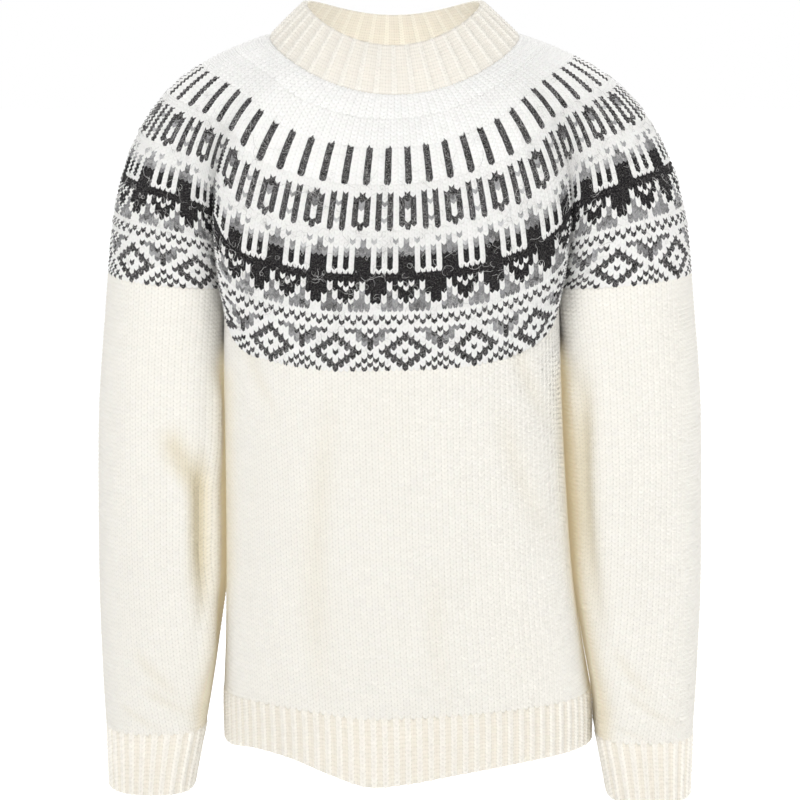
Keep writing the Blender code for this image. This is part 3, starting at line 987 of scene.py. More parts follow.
class Walls:
    """The walls of one piece of the sweater, gathered into one mesh."""

    def __init__(self) -> None:
        """Start with no walls."""
        self.points: list[Array] = []
        self.count = 0
        self.faces: dict[int, list[Array]] = {4: [], 3: []}
        self.maps: dict[int, list[Array]] = {4: [], 3: []}
        self.colours: dict[int, list[Array]] = {4: [], 3: []}

    def add(self, tube: Tube) -> None:
        """Add one wall.

        Args:
            tube: The wall to add.
        """
        at, rise, join, leg, inside = tube.columns()
        rings = tube.rings()
        level = np.array([r[0] for r in rings])
        row = level[:, None] + np.array([r[1] for r in rings])[:, None] * rise[None]
        relief = tube.relief(join, leg)
        merged = np.zeros(row.shape, bool)
        across = at
        if tube.closing is Closing.TAPERED:
            reach = tube.reach(row)
            across = np.clip(at[None] + 0 * row, -reach, reach)
            merged = np.abs(at[None]) >= reach - 1e-6
            relief = np.where(merged, join[0], relief)
        points, over, up, out = facing(tube.surface, across, row, tube.turns)
        folds = np.zeros(row.shape)
        # Painted shade: the wool's colour is darkened and warmed at the bottom of folds and where a sleeve
        # and the body lie together
        painted_shade_and_glow = np.ones((*row.shape, 3))
        if tube.folds is not None:
            folds = tube.folds(points)
            deep = np.clip(-folds / DEEP_FOLD, 0, 1)[..., None]
            painted_shade_and_glow = (1 - deep * (1 - np.array(FOLD_PAINTED_SHADE))) * painted_gap_shade(points)
        slips = tube.slips(merged)
        outer = points + out * (relief + folds + SLIP_OUT * slips[2])[..., None]
        outer += over * (SLIP_OVER * slips[0])[..., None] + up * (SLIP_UP * slips[1])[..., None]
        ring_of = sorted({*range(0, len(rings), tube.knit.inside_rings), len(rings) - 1})
        column_of = list(range(0, len(at), tube.knit.inside_step))
        depth = WALL + inside[None, :, None] - folds[..., None]
        inner = (points - out * depth)[ring_of][:, column_of]
        ids = self.number(outer, merged)
        inner_ids = self.number(inner, merged[ring_of][:, column_of])
        stitch_of = np.floor(at - tube.first + 0.5 + 1e-6).astype(int) % tube.stitches
        row_of = np.clip(np.floor(level + 1e-6).astype(int), 0, tube.rows - 1)
        u = across + 0 * row
        v = level[:, None] + 0 * row
        # The fourth channel is a painted glow; the inside gets none
        painted_shade_and_glow = np.concatenate([painted_shade_and_glow, painted_gap_glow(points)[..., None]], -1)
        self.grid(tube, ids, u, v, tube.outside, row_of, stitch_of, False, painted_shade_and_glow)
        painted_shade_and_glow[..., 3] = 0
        pick = np.ix_(ring_of, column_of)
        self.grid(
            tube, inner_ids, u[pick], v[pick], tube.inside,
            row_of[ring_of], stitch_of[column_of], True, painted_shade_and_glow[pick],
        )
        self.rims(tube, ids, inner_ids, ring_of, column_of, u, v, row_of, stitch_of)

    def number(self, points: Array, merged: Array) -> Array:
        """Store a grid of points.

        Args:
            points: Rings by columns of points.
            merged: Where points are one with their ring's first.

        Returns:
            Each point's number, rings by columns.
        """
        ids = self.count + np.arange(merged.size).reshape(merged.shape)
        self.points.append(points.reshape(-1, 3))
        self.count += merged.size
        return np.where(merged, ids[:, :1], ids)

    def grid(
        self, tube: Tube, ids: Array, u: Array, v: Array, paint: Array,
        row_of: Array, stitch_of: Array, flipped: bool, painted_shade_and_glow: Array,
    ) -> None:
        """Add a grid's faces.

        Args:
            tube: The wall that the grid belongs to.
            ids: Each point's number.
            u: Each point's stitch, for the map.
            v: Each point's row, for the map.
            paint: Colours, rows by stitches.
            row_of: Each ring's row.
            stitch_of: Each column's stitch.
            flipped: Whether the faces look inwards.
            painted_shade_and_glow: Red, green and blue shares of the colour that painted shade leaves at
                each point, and the painted glow there.
        """
        if tube.closing is Closing.ROUND:
            ids = np.concatenate([ids, ids[:, :1]], 1)
            u = np.concatenate([u, u[:, :1] + tube.stitches], 1)
            v = np.concatenate([v, v[:, :1]], 1)
        corners = ((0, 0), (0, 1), (1, 1), (1, 0))
        rows, columns = ids.shape[0] - 1, ids.shape[1] - 1

        def four(values: Array) -> Array:
            """The values at the four corners of each face."""
            parts = [values[a:a + rows, b:b + columns] for a, b in corners]
            return np.stack(parts, -1).reshape(-1, 4)

        faces = four(ids)
        maps = np.stack([four(u), four(v)], -1)
        rgba = paint[row_of[:rows, None], stitch_of[None, :columns]].reshape(-1, 4)
        painted_shade_and_glow = painted_shade_and_glow[:rows, :columns].reshape(-1, 4)
        rgba = np.concatenate([rgba[:, :3] * painted_shade_and_glow[:, :3], rgba[:, 3:], painted_shade_and_glow[:, 3:]], 1)
        if flipped:
            faces, maps = faces[:, ::-1], maps[:, ::-1]
        self.keep(tube, faces, maps, rgba)

    def rims(
        self, tube: Tube, ids: Array, inner: Array, ring_of: list[int], column_of: list[int],
        u: Array, v: Array, row_of: Array, stitch_of: Array,
    ) -> None:
        """Add the narrow faces that join a wall's outside to its inside along its edges.

        Args:
            tube: The wall.
            ids: The outside's point numbers.
            inner: The inside's point numbers.
            ring_of: The outside's ring for each ring of the inside.
            column_of: The outside's column for each column of the inside.
            u: The outside's stitches.
            v: The outside's rows.
            row_of: Each outside ring's row.
            stitch_of: Each outside column's stitch.
        """
        round_breaks = list(column_of)
        wrap = slice(0, 1) if tube.closing is Closing.ROUND else slice(0, 0)
        if tube.closing is Closing.ROUND:
            round_breaks.append(ids.shape[1])
        for ring, inner_ring, forward in ((0, 0, False), (-1, -1, True)):
            outer_chain = np.concatenate([ids[ring], ids[ring, wrap]])
            inner_chain = np.concatenate([inner[inner_ring], inner[inner_ring, wrap]])
            colours = tube.outside[row_of[ring]][stitch_of]
            maps = np.stack([u[ring], v[ring]], -1)
            self.rim(tube, outer_chain, inner_chain, round_breaks, forward, colours, maps)
        if tube.closing is Closing.SIDED:
            for side, forward in ((0, True), (-1, False)):
                colours = tube.outside[row_of, stitch_of[side]]
                maps = np.stack([u[:, side], v[:, side]], -1)
                self.rim(tube, ids[:, side], inner[:, side], ring_of, forward, colours, maps)

    def rim(
        self, tube: Tube, outer: Array, inner: Array, breaks: list[int], forward: bool,
        colours: Array, maps: Array,
    ) -> None:
        """Join a fine chain of points to a coarse one with triangles.

        Args:
            tube: The wall that the chains belong to.
            outer: The fine chain's point numbers.
            inner: The coarse chain's point numbers.
            breaks: Where on the fine chain each point of the coarse one stands.
            forward: Which way the triangles face.
            colours: The colour at each point of the fine chain.
            maps: The place on the map at each point of the fine chain.
        """
        faces, owners = [], []
        for i in range(len(breaks) - 1):
            low, high = breaks[i], breaks[i + 1]
            middle = (low + high) // 2
            for k in range(low, high):
                faces.append((outer[k + 1], outer[k], inner[i] if k < middle else inner[i + 1]))
                owners.append(k)
            faces.append((inner[i], inner[i + 1], outer[middle]))
            owners.append(min(middle, high - 1))
        triangles = np.array(faces)
        if forward:
            triangles = triangles[:, ::-1]
        owner = np.array(owners) % len(colours)
        place = np.repeat(maps[owner][:, None], 3, 1)
        self.keep(tube, triangles, place, np.pad(colours[owner], ((0, 0), (0, 1))))

    def keep(self, tube: Tube, faces: Array, maps: Array, rgba: Array) -> None:
        """Store faces, leaving out those that a taper has closed up.

        Args:
            tube: The wall that the faces belong to.
            faces: Point numbers, three or four a face.
            maps: Each corner's place on the map.
            rgba: Each face's colour with its painted shade, its heather, and its painted glow.
        """
        if tube.turns < 0:
            faces, maps = faces[:, ::-1], maps[:, ::-1]
        size = faces.shape[1]
        same = [faces[:, k] == faces[:, (k + 1) % size] for k in range(size)]
        twins = np.sum(same, 0)
        whole = twins == 0
        if size == 4:
            whole &= (faces[:, 0] != faces[:, 2]) & (faces[:, 1] != faces[:, 3])
            three = twins == 1
            for k in range(4):
                hit = three & same[k]
                left = [c for c in range(4) if c != k]
                left_faces = faces[hit][:, left]
                good = left_faces[:, 0] != left_faces[:, 2]
                self.faces[3].append(left_faces[good])
                self.maps[3].append(maps[hit][:, left][good])
                self.colours[3].append(rgba[hit][good])
        self.faces[size].append(faces[whole])
        self.maps[size].append(maps[whole])
        self.colours[size].append(rgba[whole])

    def make(self, name: str) -> bpy.types.Object:
        """Make the mesh and its object.

        Args:
            name: The piece's name.

        Returns:
            The new object, at the origin.
        """
        points = np.concatenate(self.points) * MM
        four = np.concatenate(self.faces[4])
        three = np.concatenate(self.faces[3])
        used = np.unique(np.concatenate([four.ravel(), three.ravel()]))
        number = np.zeros(len(points), int)
        number[used] = np.arange(len(used))
        mesh = bpy.data.meshes.new(name)
        mesh.from_pydata(points[used].tolist(), [], number[four].tolist() + number[three].tolist())
        maps = [np.concatenate(self.maps[k]).reshape(-1, 2) for k in (4, 3)]
        layer = mesh.uv_layers.new(name="Knit")
        layer.uv.foreach_set("vector", np.concatenate(maps).astype(np.float32).ravel())
        # The colours carry painted shade in folds, beside the sleeves and on purl stitches, and PaintedGlow
        # carries a painted glow
        rgba = np.concatenate([np.repeat(np.concatenate(self.colours[k]), k, 0) for k in (4, 3)])
        attribute = mesh.color_attributes.new(name="Yarn", type="BYTE_COLOR", domain="CORNER")
        attribute.data.foreach_set("color", rgba[:, :4].astype(np.float32).ravel())
        # A painted glow for the gap between a sleeve and the body
        through = mesh.attributes.new(name="PaintedGlow", type="FLOAT", domain="CORNER")
        through.data.foreach_set("value", rgba[:, 4].astype(np.float32))
        mesh.shade_smooth()
        mesh.update()
        obj = bpy.data.objects.new(name, mesh)
        bpy.context.scene.collection.objects.link(obj)
        return obj


# How much of a yarn's unevenness goes from stitch to stitch, and how much from patch to patch
STITCH_UNEVEN = 0.8
PATCH_UNEVEN = 1.4

# How the inside of patterned knitting mixes: the yarn two stitches away, and the row's mean
FLOAT_NEAR = 0.55
FLOAT_MEAN = 0.45


def paint(chart: Array, seed: int) -> Array:
    """Colour every stitch of a chart, each a little different.

    Args:
        chart: Yarn letters, rows by stitches.
        seed: The start of the random numbers.

    Returns:
        Rows by stitches by red, green, blue and heather.
    """
    random = np.random.default_rng(seed)
    shade = random.normal(0, 1, chart.shape)
    drift = random.normal(0, 1, chart.shape)
    for _ in range(3):
        for axis in (0, 1):
            drift = (drift + np.roll(drift, 1, axis) + np.roll(drift, -1, axis)) / 3
    rgba = np.zeros((*chart.shape, 4))
    for yarn, dye in DYES.items():
        mine = chart == yarn.value
        factor = 1 + dye.uneven * np.clip(STITCH_UNEVEN * shade + PATCH_UNEVEN * drift, -2, 2)
        for k in range(3):
            rgba[..., k] = np.where(mine, dye.colour[k] * factor, rgba[..., k])
        rgba[..., 3] = np.where(mine, dye.heather, rgba[..., 3])
    return np.clip(rgba, 0, 1)


def plain_paint(yarn: Yarn, rows: int, stitches: int, seed: int) -> Array:
    """Colour knitting of one yarn."""
    return paint(np.full((rows, stitches), yarn.value), seed)


def rib_paint(knit: Knit, rows: int, stitches: int, seed: int) -> Array:
    """Colour ribs, with painted shade darkening the purl stitches between them.

    Args:
        knit: The ribs' repeat, whose first stitch is the raised one.
        rows: How many rows there are.
        stitches: How many stitches there are.
        seed: The start of the random numbers.

    Returns:
        Rows by stitches by red, green, blue and heather.
    """
    rgba = plain_paint(Yarn.RIB, rows, stitches, seed)
    purl = np.arange(stitches) % knit.stitches > 0
    # Painted shade on the sunken purl stitches
    rgba[:, purl, :3] *= np.array(knit.purl_painted_shade)
    return rgba


def floats(outside: Array) -> Array:
    """The inside of patterned knitting, where each row's yarns lie side by side as floats."""
    mean = outside.mean(1, keepdims=True)
    return np.clip(FLOAT_NEAR * np.roll(outside, 2, 1) + FLOAT_MEAN * mean, 0, 1)


@dataclass(frozen=True)
class Band:
    """One band of the yoke: so many repeats of a chart, between two shares of the wales.

    Attributes:
        repeats: How many times the chart goes round.
        centre: The yoke stitch that the middle of a motif stands on at the front.
        crowding: How many yoke stitches the repeats crowd towards the front and the back.
        start: The share of each wale where the band starts.
        end: The share where it ends.
        chart: The letters of the yarns, with the lowest row first.
    """

    repeats: int
    centre: float
    crowding: float
    start: float
    end: float
    chart: tuple[str, ...]


LOZENGES = Band(
    24, 2.1, 0.0, 0.0, 0.2096,
    (
        ".d.d..d..d.d",
        "d.d..ddd..d.",
        ".d..dd.dd..d",
        "d..dd...dd..",
        "..dd..d..dd.",
        "d..dd...dd..",
        "dg..dd.dd..g",
        "dgg..ddd..gg",
        ".dg...d...gd",
        "d.ggd...dgg.",
        "............",
        ".d.d.d.d.d.d",
        "d.d.d.d.d.d.",
        "............",
    ),
)
TEETH = Band(
    26, 2.2, -1.0, 0.2096, 0.3429,
    (
        ".gggg.gggg.",
        ".gggg.gggg.",
        "#.gg.#.gg.#",
        "#.g.###.g.#",
        "##g.###.g##",
        "##.##.##.##",
        "##.#.#.#.##",
        "###########",
        "###########",
    ),
)
CROWN = Band(
    33, 2.3, -2.0, 0.3429, 0.4929,
    (
        "...###..",
        ".#.###.#",
        ".#.###.#",
        ".#.###.#",
        ".g.ggg.g",
        ".l.ggg.l",
        "....g...",
        "..l.l.l.",
        "........",
        "........",
    ),
)
OVALS = Band(
    29, 2.6, -1.9, 0.4929, 0.6537,
    (
        ".d..d..d",
        ".d.ddd.d",
        "ld.d.d.d",
        ".d.d.d.d",
        ".d.d.d.d",
        ".d.dgd.d",
        "ld.dgd.d",
        ".d.ddd.d",
        ".d..d..d",
        "........",
        "........",
    ),
)
BARS = Band(58, 2.9, -2.3, 0.6537, 0.7855, (".d.",) * 9)
PLAIN_BANDS = (
    Band(53, 2.9, -2.0, 0.7855, 0.893, ("...",) * 7),
    Band(43, 2.9, -1.2, 0.893, 0.985, ("...",) * 6),
)


# How a crease bows, goes on past its ends, fades in and out, and wraps round the sides
CREASE_BOW = 0.03
CREASE_PAST = 0.25
CREASE_FADE_IN = 0.5
CREASE_FADE_OUT = 0.8
CREASE_WRAP = 6.0
CREASE_WRAP_FADE = 24.0


@dataclass(frozen=True)
class Crease:
    """A worn crease: a line between two places, deepest a third of the way along.

    Attributes:
        side: -1 on the front, 1 on the back.
        x1: Where it starts, to the viewer's right.
        z1: The height where it starts.
        x2: Where it ends.
        z2: The height where it ends.
        width: How wide it is.
        depth: How far it stands out, below 0 where it is sunk.
    """

    side: int
    x1: float
    z1: float
    x2: float
    z2: float
    width: float
    depth: float

    def out(self, points: Array) -> Array:
        """How far the crease makes the cloth stand out.

        Args:
            points: Points of the cloth.

        Returns:
            The distances, in mm.
        """
        x, y, z = points[..., 0], points[..., 1], points[..., 2]
        dx, dz = self.x2 - self.x1, self.z2 - self.z1
        length = math.hypot(dx, dz)
        along = ((x - self.x1) * dx + (z - self.z1) * dz) / length**2
        bow = CREASE_BOW * length * np.sin(np.clip(along, 0, 1) * math.pi)
        away = ((x - self.x1) * dz - (z - self.z1) * dx) / length - bow
        fade = ease((along + CREASE_PAST) / CREASE_FADE_IN)
        fade = fade * ease((1 + CREASE_PAST - along) / CREASE_FADE_OUT)
        here = ease((y * self.side + CREASE_WRAP) / CREASE_WRAP_FADE)
        return self.depth * fade * here * np.exp(-((away / (0.5 * self.width)) ** 2))


SLEEVE_CREASES = (
    Crease(-1, -213.0, -352.0, -180.0, -412.0, 24.0, -6.0),
    Crease(-1, -180.0, -386.0, -175.0, -540.0, 25.0, -11.0),
    Crease(-1, -212.0, -400.0, -202.0, -470.0, 20.0, 2.5),
    Crease(-1, -246.0, -560.0, -205.0, -604.0, 13.0, -1.8),
    Crease(-1, -236.0, -596.0, -196.0, -620.0, 10.0, -1.7),
    Crease(-1, -262.0, -612.0, -226.0, -634.0, 9.0, -1.4),
    Crease(-1, 168.0, -318.0, 184.0, -530.0, 20.0, -8.0),
    Crease(-1, 210.0, -330.0, 214.0, -420.0, 22.0, 2.0),
    Crease(-1, 201.0, -560.0, 240.0, -606.0, 13.0, -1.8),
    Crease(-1, 214.0, -600.0, 262.0, -632.0, 10.0, -1.7),
    Crease(-1, 206.0, -634.0, 240.0, -646.0, 8.0, -1.2),
    Crease(1, -205.0, -322.0, -165.0, -390.0, 15.0, -2.4),
    Crease(1, 172.0, -300.0, 196.0, -404.0, 14.0, -2.2),
    Crease(1, -240.0, -574.0, -204.0, -612.0, 12.0, -1.7),
    Crease(1, 206.0, -578.0, 250.0, -618.0, 12.0, -1.8),
)
BODY_CREASES = (
    Crease(-1, -66.0, -330.0, -74.0, -590.0, 24.0, -1.8),
    Crease(-1, -120.0, -450.0, -96.0, -600.0, 22.0, 1.3),
    Crease(-1, 104.0, -262.0, 138.0, -340.0, 16.0, -1.9),
    Crease(-1, 92.0, -330.0, 140.0, -452.0, 20.0, -1.5),
    Crease(-1, -140.0, -268.0, -112.0, -330.0, 14.0, -1.6),
    Crease(-1, 30.0, -480.0, 44.0, -600.0, 24.0, -1.2),
    Crease(1, -118.0, -282.0, -88.0, -356.0, 18.0, -1.8),
    Crease(1, 88.0, -290.0, 126.0, -372.0, 18.0, -1.9),
    Crease(1, -20.0, -400.0, -34.0, -590.0, 26.0, -1.5),
    Crease(1, 70.0, -440.0, 52.0, -596.0, 24.0, 1.2),
)

# How uneven worn cloth is besides, in mm: in slow waves and in fine ones
SLOW_WAVES = 0.22
FINE_WAVES = 0.08

# A sleeve's fullness along the body's side
FULL_OFF = 6.5
FULL_HALF_WIDTH = 7.0
FULL_LEFT = 6.0
FULL_RIGHT = 2.0
FULL_TOP = -285.0
FULL_TOP_FADE = 40.0
FULL_END = -620.0
FULL_END_FADE = 90.0
FULL_MOUTH = 32.0
FULL_MOUTH_FADE = 18.0


def creases(points: Array, worn: Sequence[Crease]) -> Array:
    """How far worn cloth stands out, with its creases and a soft unevenness.

    Args:
        points: Points of the cloth.
        worn: The creases.

    Returns:
        The distances, in mm.
    """
    x, y, z = points[..., 0], points[..., 1], points[..., 2]
    slow = np.sin(x / 31 + 1.3 * np.sin(z / 83) + y / 57) * np.sin(z / 61 + x / 140 + 0.6)
    fine = np.sin(x / 17 - z / 37 + 2.1) * np.sin(y / 23 + z / 29)
    total = SLOW_WAVES * slow + FINE_WAVES * fine
    for crease in worn:
        total = total + crease.out(points)
    return total


def body_folds(points: Array) -> Array:
    """How far the body and its hem stand out of their tubes, in mm."""
    return creases(points, BODY_CREASES)


def sleeve_folds(points: Array) -> Array:
    """How far a sleeve stands out of its tube, in mm.

    Beside the worn creases, the cloth is full along the body's side, in front of and behind the line
    where the two lie together.

    Args:
        points: Points of the cloth.

    Returns:
        The distances.
    """
    x, y, z = points[..., 0], points[..., 1], points[..., 2]
    away = (beside(points) - FULL_OFF) / FULL_HALF_WIDTH
    high = ease((FULL_TOP - z) / FULL_TOP_FADE) * ease((z - FULL_END) / FULL_END_FADE)
    full = np.where(x < 0, FULL_LEFT, FULL_RIGHT) * high
    full = full * ease((np.abs(y) - FULL_MOUTH) / FULL_MOUTH_FADE) * np.exp(-(away**2))
    return creases(points, SLEEVE_CREASES) + full


@dataclass(frozen=True)
class Finish:
    """A wool's material: what the map and the stitches' colours become on the surface.

    Attributes:
        slot: The record's material slot.
        sheen: How much the fuzz catches the light.
        groove: How strongly painted shade darkens the hollows between legs and stitches.
        roughness: The yarn's roughness.
        relief: How deep the ply and fibres are, in mm.
        specular: How much the yarn reflects.
        sheen_roughness: How soft the fuzz's light is.
    """

    slot: str
    sheen: float
    groove: float
    roughness: float = 0.95
    relief: float = 0.45
    specular: float = 0.2
    sheen_roughness: float = 0.45

    def material(self, yarn: bpy.types.NodeTree, ply: bpy.types.NodeTree) -> bpy.types.Material:
        """Build the material from the two shared effects.

        Args:
            yarn: The effect that gives the colour, with the heather and the painted shade in the hollows.
            ply: The effect that gives the height.

        Returns:
            The material.
        """
        material = bpy.data.materials.new(self.slot)
        material.use_nodes = True
        tree = material.node_tree
        shader = tree.nodes["Principled BSDF"]
        shader.inputs["Metallic"].default_value = 0.0
        shader.inputs["Roughness"].default_value = self.roughness
        shader.inputs["Specular IOR Level"].default_value = self.specular
        shader.inputs["Sheen Weight"].default_value = self.sheen
        shader.inputs["Sheen Roughness"].default_value = self.sheen_roughness
        attribute = tree.nodes.new("ShaderNodeAttribute")
        attribute.attribute_name = "Yarn"
        place = tree.nodes.new("ShaderNodeUVMap")
        place.uv_map = "Knit"
        # This group gives the heather and the painted shade in the hollows
        dye = tree.nodes.new("ShaderNodeGroup")
        dye.node_tree = yarn
        dye.inputs["PaintedHollowShade"].default_value = self.groove
        # A painted glow: the wool emits a warm colour where the PaintedGlow attribute says, deep in the gap
        # between a sleeve and the body
        through = tree.nodes.new("ShaderNodeAttribute")
        through.attribute_name = "PaintedGlow"
        warm = tree.nodes.new("ShaderNodeMix")
        warm.data_type = "RGBA"
        warm.inputs["A"].default_value = (0.0, 0.0, 0.0, 1.0)
        warm.inputs["B"].default_value = PAINTED_GAP_GLOW
        shader.inputs["Emission Strength"].default_value = 1.0
        form = tree.nodes.new("ShaderNodeGroup")
        form.node_tree = ply
        bump = tree.nodes.new("ShaderNodeBump")
        bump.inputs["Strength"].default_value = 1.0
        bump.inputs["Distance"].default_value = self.relief * MM
        tree.links.new(attribute.outputs["Color"], dye.inputs["Yarn"])
        tree.links.new(attribute.outputs["Alpha"], dye.inputs["Heather"])
        tree.links.new(place.outputs["UV"], dye.inputs["Place"])
        tree.links.new(place.outputs["UV"], form.inputs["Place"])
        tree.links.new(through.outputs["Fac"], warm.inputs["Factor"])
        tree.links.new(warm.outputs["Result"], shader.inputs["Emission Color"])
        tree.links.new(dye.outputs["Colour"], shader.inputs["Base Color"])
        tree.links.new(form.outputs["Height"], bump.inputs["Height"])
        tree.links.new(bump.outputs["Normal"], shader.inputs["Normal"])
        return material


class Effect:
    """A node group being built: an effect that several materials share."""

    def __init__(self, name: str, inputs: dict[str, tuple[str, object]], outputs: dict[str, str]) -> None:
        """Start the group.

        Args:
            name: The group's name.
            inputs: Each input's socket type and starting value.
            outputs: Each output's socket type.
        """
        self.tree = bpy.data.node_groups.new(name, "ShaderNodeTree")
        for label, (kind, value) in inputs.items():
            socket = self.tree.interface.new_socket(name=label, in_out="INPUT", socket_type=kind)
            if value is not None:
                socket.default_value = value
        for label, kind in outputs.items():
            self.tree.interface.new_socket(name=label, in_out="OUTPUT", socket_type=kind)
        self.source = self.tree.nodes.new("NodeGroupInput").outputs
        self.result = self.tree.nodes.new("NodeGroupOutput").inputs

    def link(self, value: object, socket: bpy.types.NodeSocket) -> None:
        """Feed a socket from another socket or a number.

        Args:
            value: The other socket, or the number.
            socket: The socket to feed.
        """
        if isinstance(value, bpy.types.NodeSocket):
            self.tree.links.new(value, socket)
        else:
            socket.default_value = value

    def maths(self, operation: str, *values: object) -> bpy.types.NodeSocket:
        """One step of arithmetic.

        Args:
            operation: The step's name in a Math node.
            values: What it works on.

        Returns:
            The result.
        """
        node = self.tree.nodes.new("ShaderNodeMath")
        node.operation = operation
        for value, socket in zip(values, node.inputs):
            self.link(value, socket)
        return node.outputs[0]

    def split(self, vector: bpy.types.NodeSocket) -> tuple[bpy.types.NodeSocket, ...]:
        """A vector's three parts.

        Args:
            vector: The vector.

        Returns:
            The parts.
        """
        node = self.tree.nodes.new("ShaderNodeSeparateXYZ")
        self.link(vector, node.inputs[0])
        return tuple(node.outputs)

    def join(self, x: object, y: object, z: object) -> bpy.types.NodeSocket:
        """A vector from three parts.

        Args:
            x: The first part.
            y: The second.
            z: The third.

        Returns:
            The vector.
        """
        node = self.tree.nodes.new("ShaderNodeCombineXYZ")
        for value, socket in zip((x, y, z), node.inputs):
            self.link(value, socket)
        return node.outputs[0]

    def stretch(self, u: object, v: object, over: float, up: float, shift: float) -> bpy.types.NodeSocket:
        """The map's place, stretched, so that a noise read there runs along the yarn.

        Args:
            u: The stitch.
            v: The row.
            over: How many units long a stitch becomes.
            up: How many units long a row becomes.
            shift: The third part, which keeps one noise apart from another.

        Returns:
            The stretched place.
        """
        return self.join(self.maths("MULTIPLY", u, over), self.maths("MULTIPLY", v, up), shift)

    def noise(self, vector: bpy.types.NodeSocket, scale: float, detail: float) -> bpy.types.NodeSocket:
        """A cloudy value between 0 and 1.

        Args:
            vector: Where to read it.
            scale: How fine it is.
            detail: How many finer layers it has.

        Returns:
            The value.
        """
        node = self.tree.nodes.new("ShaderNodeTexNoise")
        self.link(vector, node.inputs["Vector"])
        node.inputs["Scale"].default_value = scale
        node.inputs["Detail"].default_value = detail
        return node.outputs["Fac"]

    def between(self, value: object, low: float, high: float) -> bpy.types.NodeSocket:
        """0 below low and 1 above high, smoothly.

        Args:
            value: The value.
            low: Where it starts to rise.
            high: Where it is 1.

        Returns:
            The share.
        """
        node = self.tree.nodes.new("ShaderNodeMapRange")
        node.interpolation_type = "SMOOTHSTEP"
        self.link(value, node.inputs["Value"])
        node.inputs["From Min"].default_value = low
        node.inputs["From Max"].default_value = high
        return node.outputs["Result"]

    def mix(self, factor: object, a: object, b: object) -> bpy.types.NodeSocket:
        """One colour over another.

        Args:
            factor: How much of b shows.
            a: The colour below.
            b: The colour above.

        Returns:
            The mixed colour.
        """
        node = self.tree.nodes.new("ShaderNodeMix")
        node.data_type = "RGBA"
        self.link(factor, node.inputs["Factor"])
        self.link(a, node.inputs["A"])
        self.link(b, node.inputs["B"])
        return node.outputs["Result"]


# The colours of a yarn's dark and light fibres and how much of each heathered wool shows
DARK_FIBRES = (0.02, 0.02, 0.022, 1.0)
LIGHT_FIBRES = (0.8, 0.78, 0.75, 1.0)
DARK_MOST = 0.4
LIGHT_MOST = 0.62

# The colour of the painted shade in the hollows round a stitch, and how strongly it is laid along the leg's
# middle and at its ends, down the stitch's centre, and at the joins between rows
HOLLOW_PAINTED_SHADE = (0.16, 0.14, 0.11, 1.0)
HOLLOW_MIDDLE = 0.25
HOLLOW_ENDS = 0.75
HOLLOW_CENTRE = 0.5
HOLLOW_JOINS = 0.3

# The plies' twist across and along a leg, and how high plies and fibres stand beside the leg's round
TWIST_OVER = 34.0
TWIST_UP = 7.0
PLY_HEIGHT = 0.22
FIBRE_HEIGHT = 0.9


def along_the_leg(effect: Effect) -> tuple[bpy.types.NodeSocket, bpy.types.NodeSocket]:
    """How far a point is from its stitch's middle, and how far up its row, each from the map.

    Args:
        effect: The group being built, with the input Place.

    Returns:
        The distance in stitches, up to a half, and the share of the row.
    """
    u, v, _ = effect.split(effect.source["Place"])
    over = effect.maths("FRACT", effect.maths("ADD", u, 0.5))
    beside = effect.maths("ABSOLUTE", effect.maths("SUBTRACT", over, 0.5))
    return beside, effect.maths("FRACT", v)


def heather_and_hollow_shade_effect() -> bpy.types.NodeTree:
    """The yarn's mixed fibres, light and dark hairs that run along each leg of a stitch, and painted shade
    in the hollows round each stitch.

    Returns:
        The node group, which puts out Colour.
    """
    effect = Effect(
        "Heather",
        {
            "Yarn": ("NodeSocketColor", (0.8, 0.8, 0.8, 1.0)),
            "Heather": ("NodeSocketFloat", 0.3),
            "PaintedHollowShade": ("NodeSocketFloat", 0.16),
            "Place": ("NodeSocketVector", None),
        },
        {"Colour": "NodeSocketColor"},
    )
    u, v, _ = effect.split(effect.source["Place"])
    beside, up = along_the_leg(effect)
    fibres = effect.noise(effect.stretch(u, v, 3.2, 9.0, 0.0), 1.0, 3.0)
    clumps = effect.noise(effect.stretch(u, v, 1.1, 1.7, 4.0), 1.0, 1.0)
    heather = effect.source["Heather"]
    light = effect.between(fibres, 0.53, 0.64)
    light = effect.maths("MULTIPLY", light, effect.maths("MULTIPLY", heather, LIGHT_MOST))
    dark = effect.between(clumps, 0.42, 0.72)
    dark = effect.maths("MULTIPLY", dark, effect.maths("MULTIPLY", heather, DARK_MOST))
    colour = effect.mix(dark, effect.source["Yarn"], DARK_FIBRES)
    colour = effect.mix(light, colour, LIGHT_FIBRES)
    # Painted shade in the hollows between legs, stitches and rows
    ends = effect.maths("ABSOLUTE", effect.maths("SUBTRACT", up, 0.5))
    hollows = effect.maths("MULTIPLY", effect.between(ends, 0.2, 0.5), HOLLOW_ENDS)
    hollows = effect.maths("ADD", hollows, HOLLOW_MIDDLE)
    centre = effect.between(effect.maths("SUBTRACT", 0.14, beside), 0.0, 0.14)
    centre = effect.maths("MULTIPLY", centre, HOLLOW_CENTRE)
    groove = effect.maths("ADD", effect.between(beside, 0.36, 0.5), centre)
    joins = effect.maths("MULTIPLY", effect.between(ends, 0.32, 0.5), HOLLOW_JOINS)
    groove = effect.maths("ADD", effect.maths("MULTIPLY", groove, hollows), joins)
    groove = effect.maths("MULTIPLY", groove, effect.source["PaintedHollowShade"])
    colour = effect.mix(groove, colour, HOLLOW_PAINTED_SHADE)
    effect.link(colour, effect.result["Colour"])
    return effect.tree


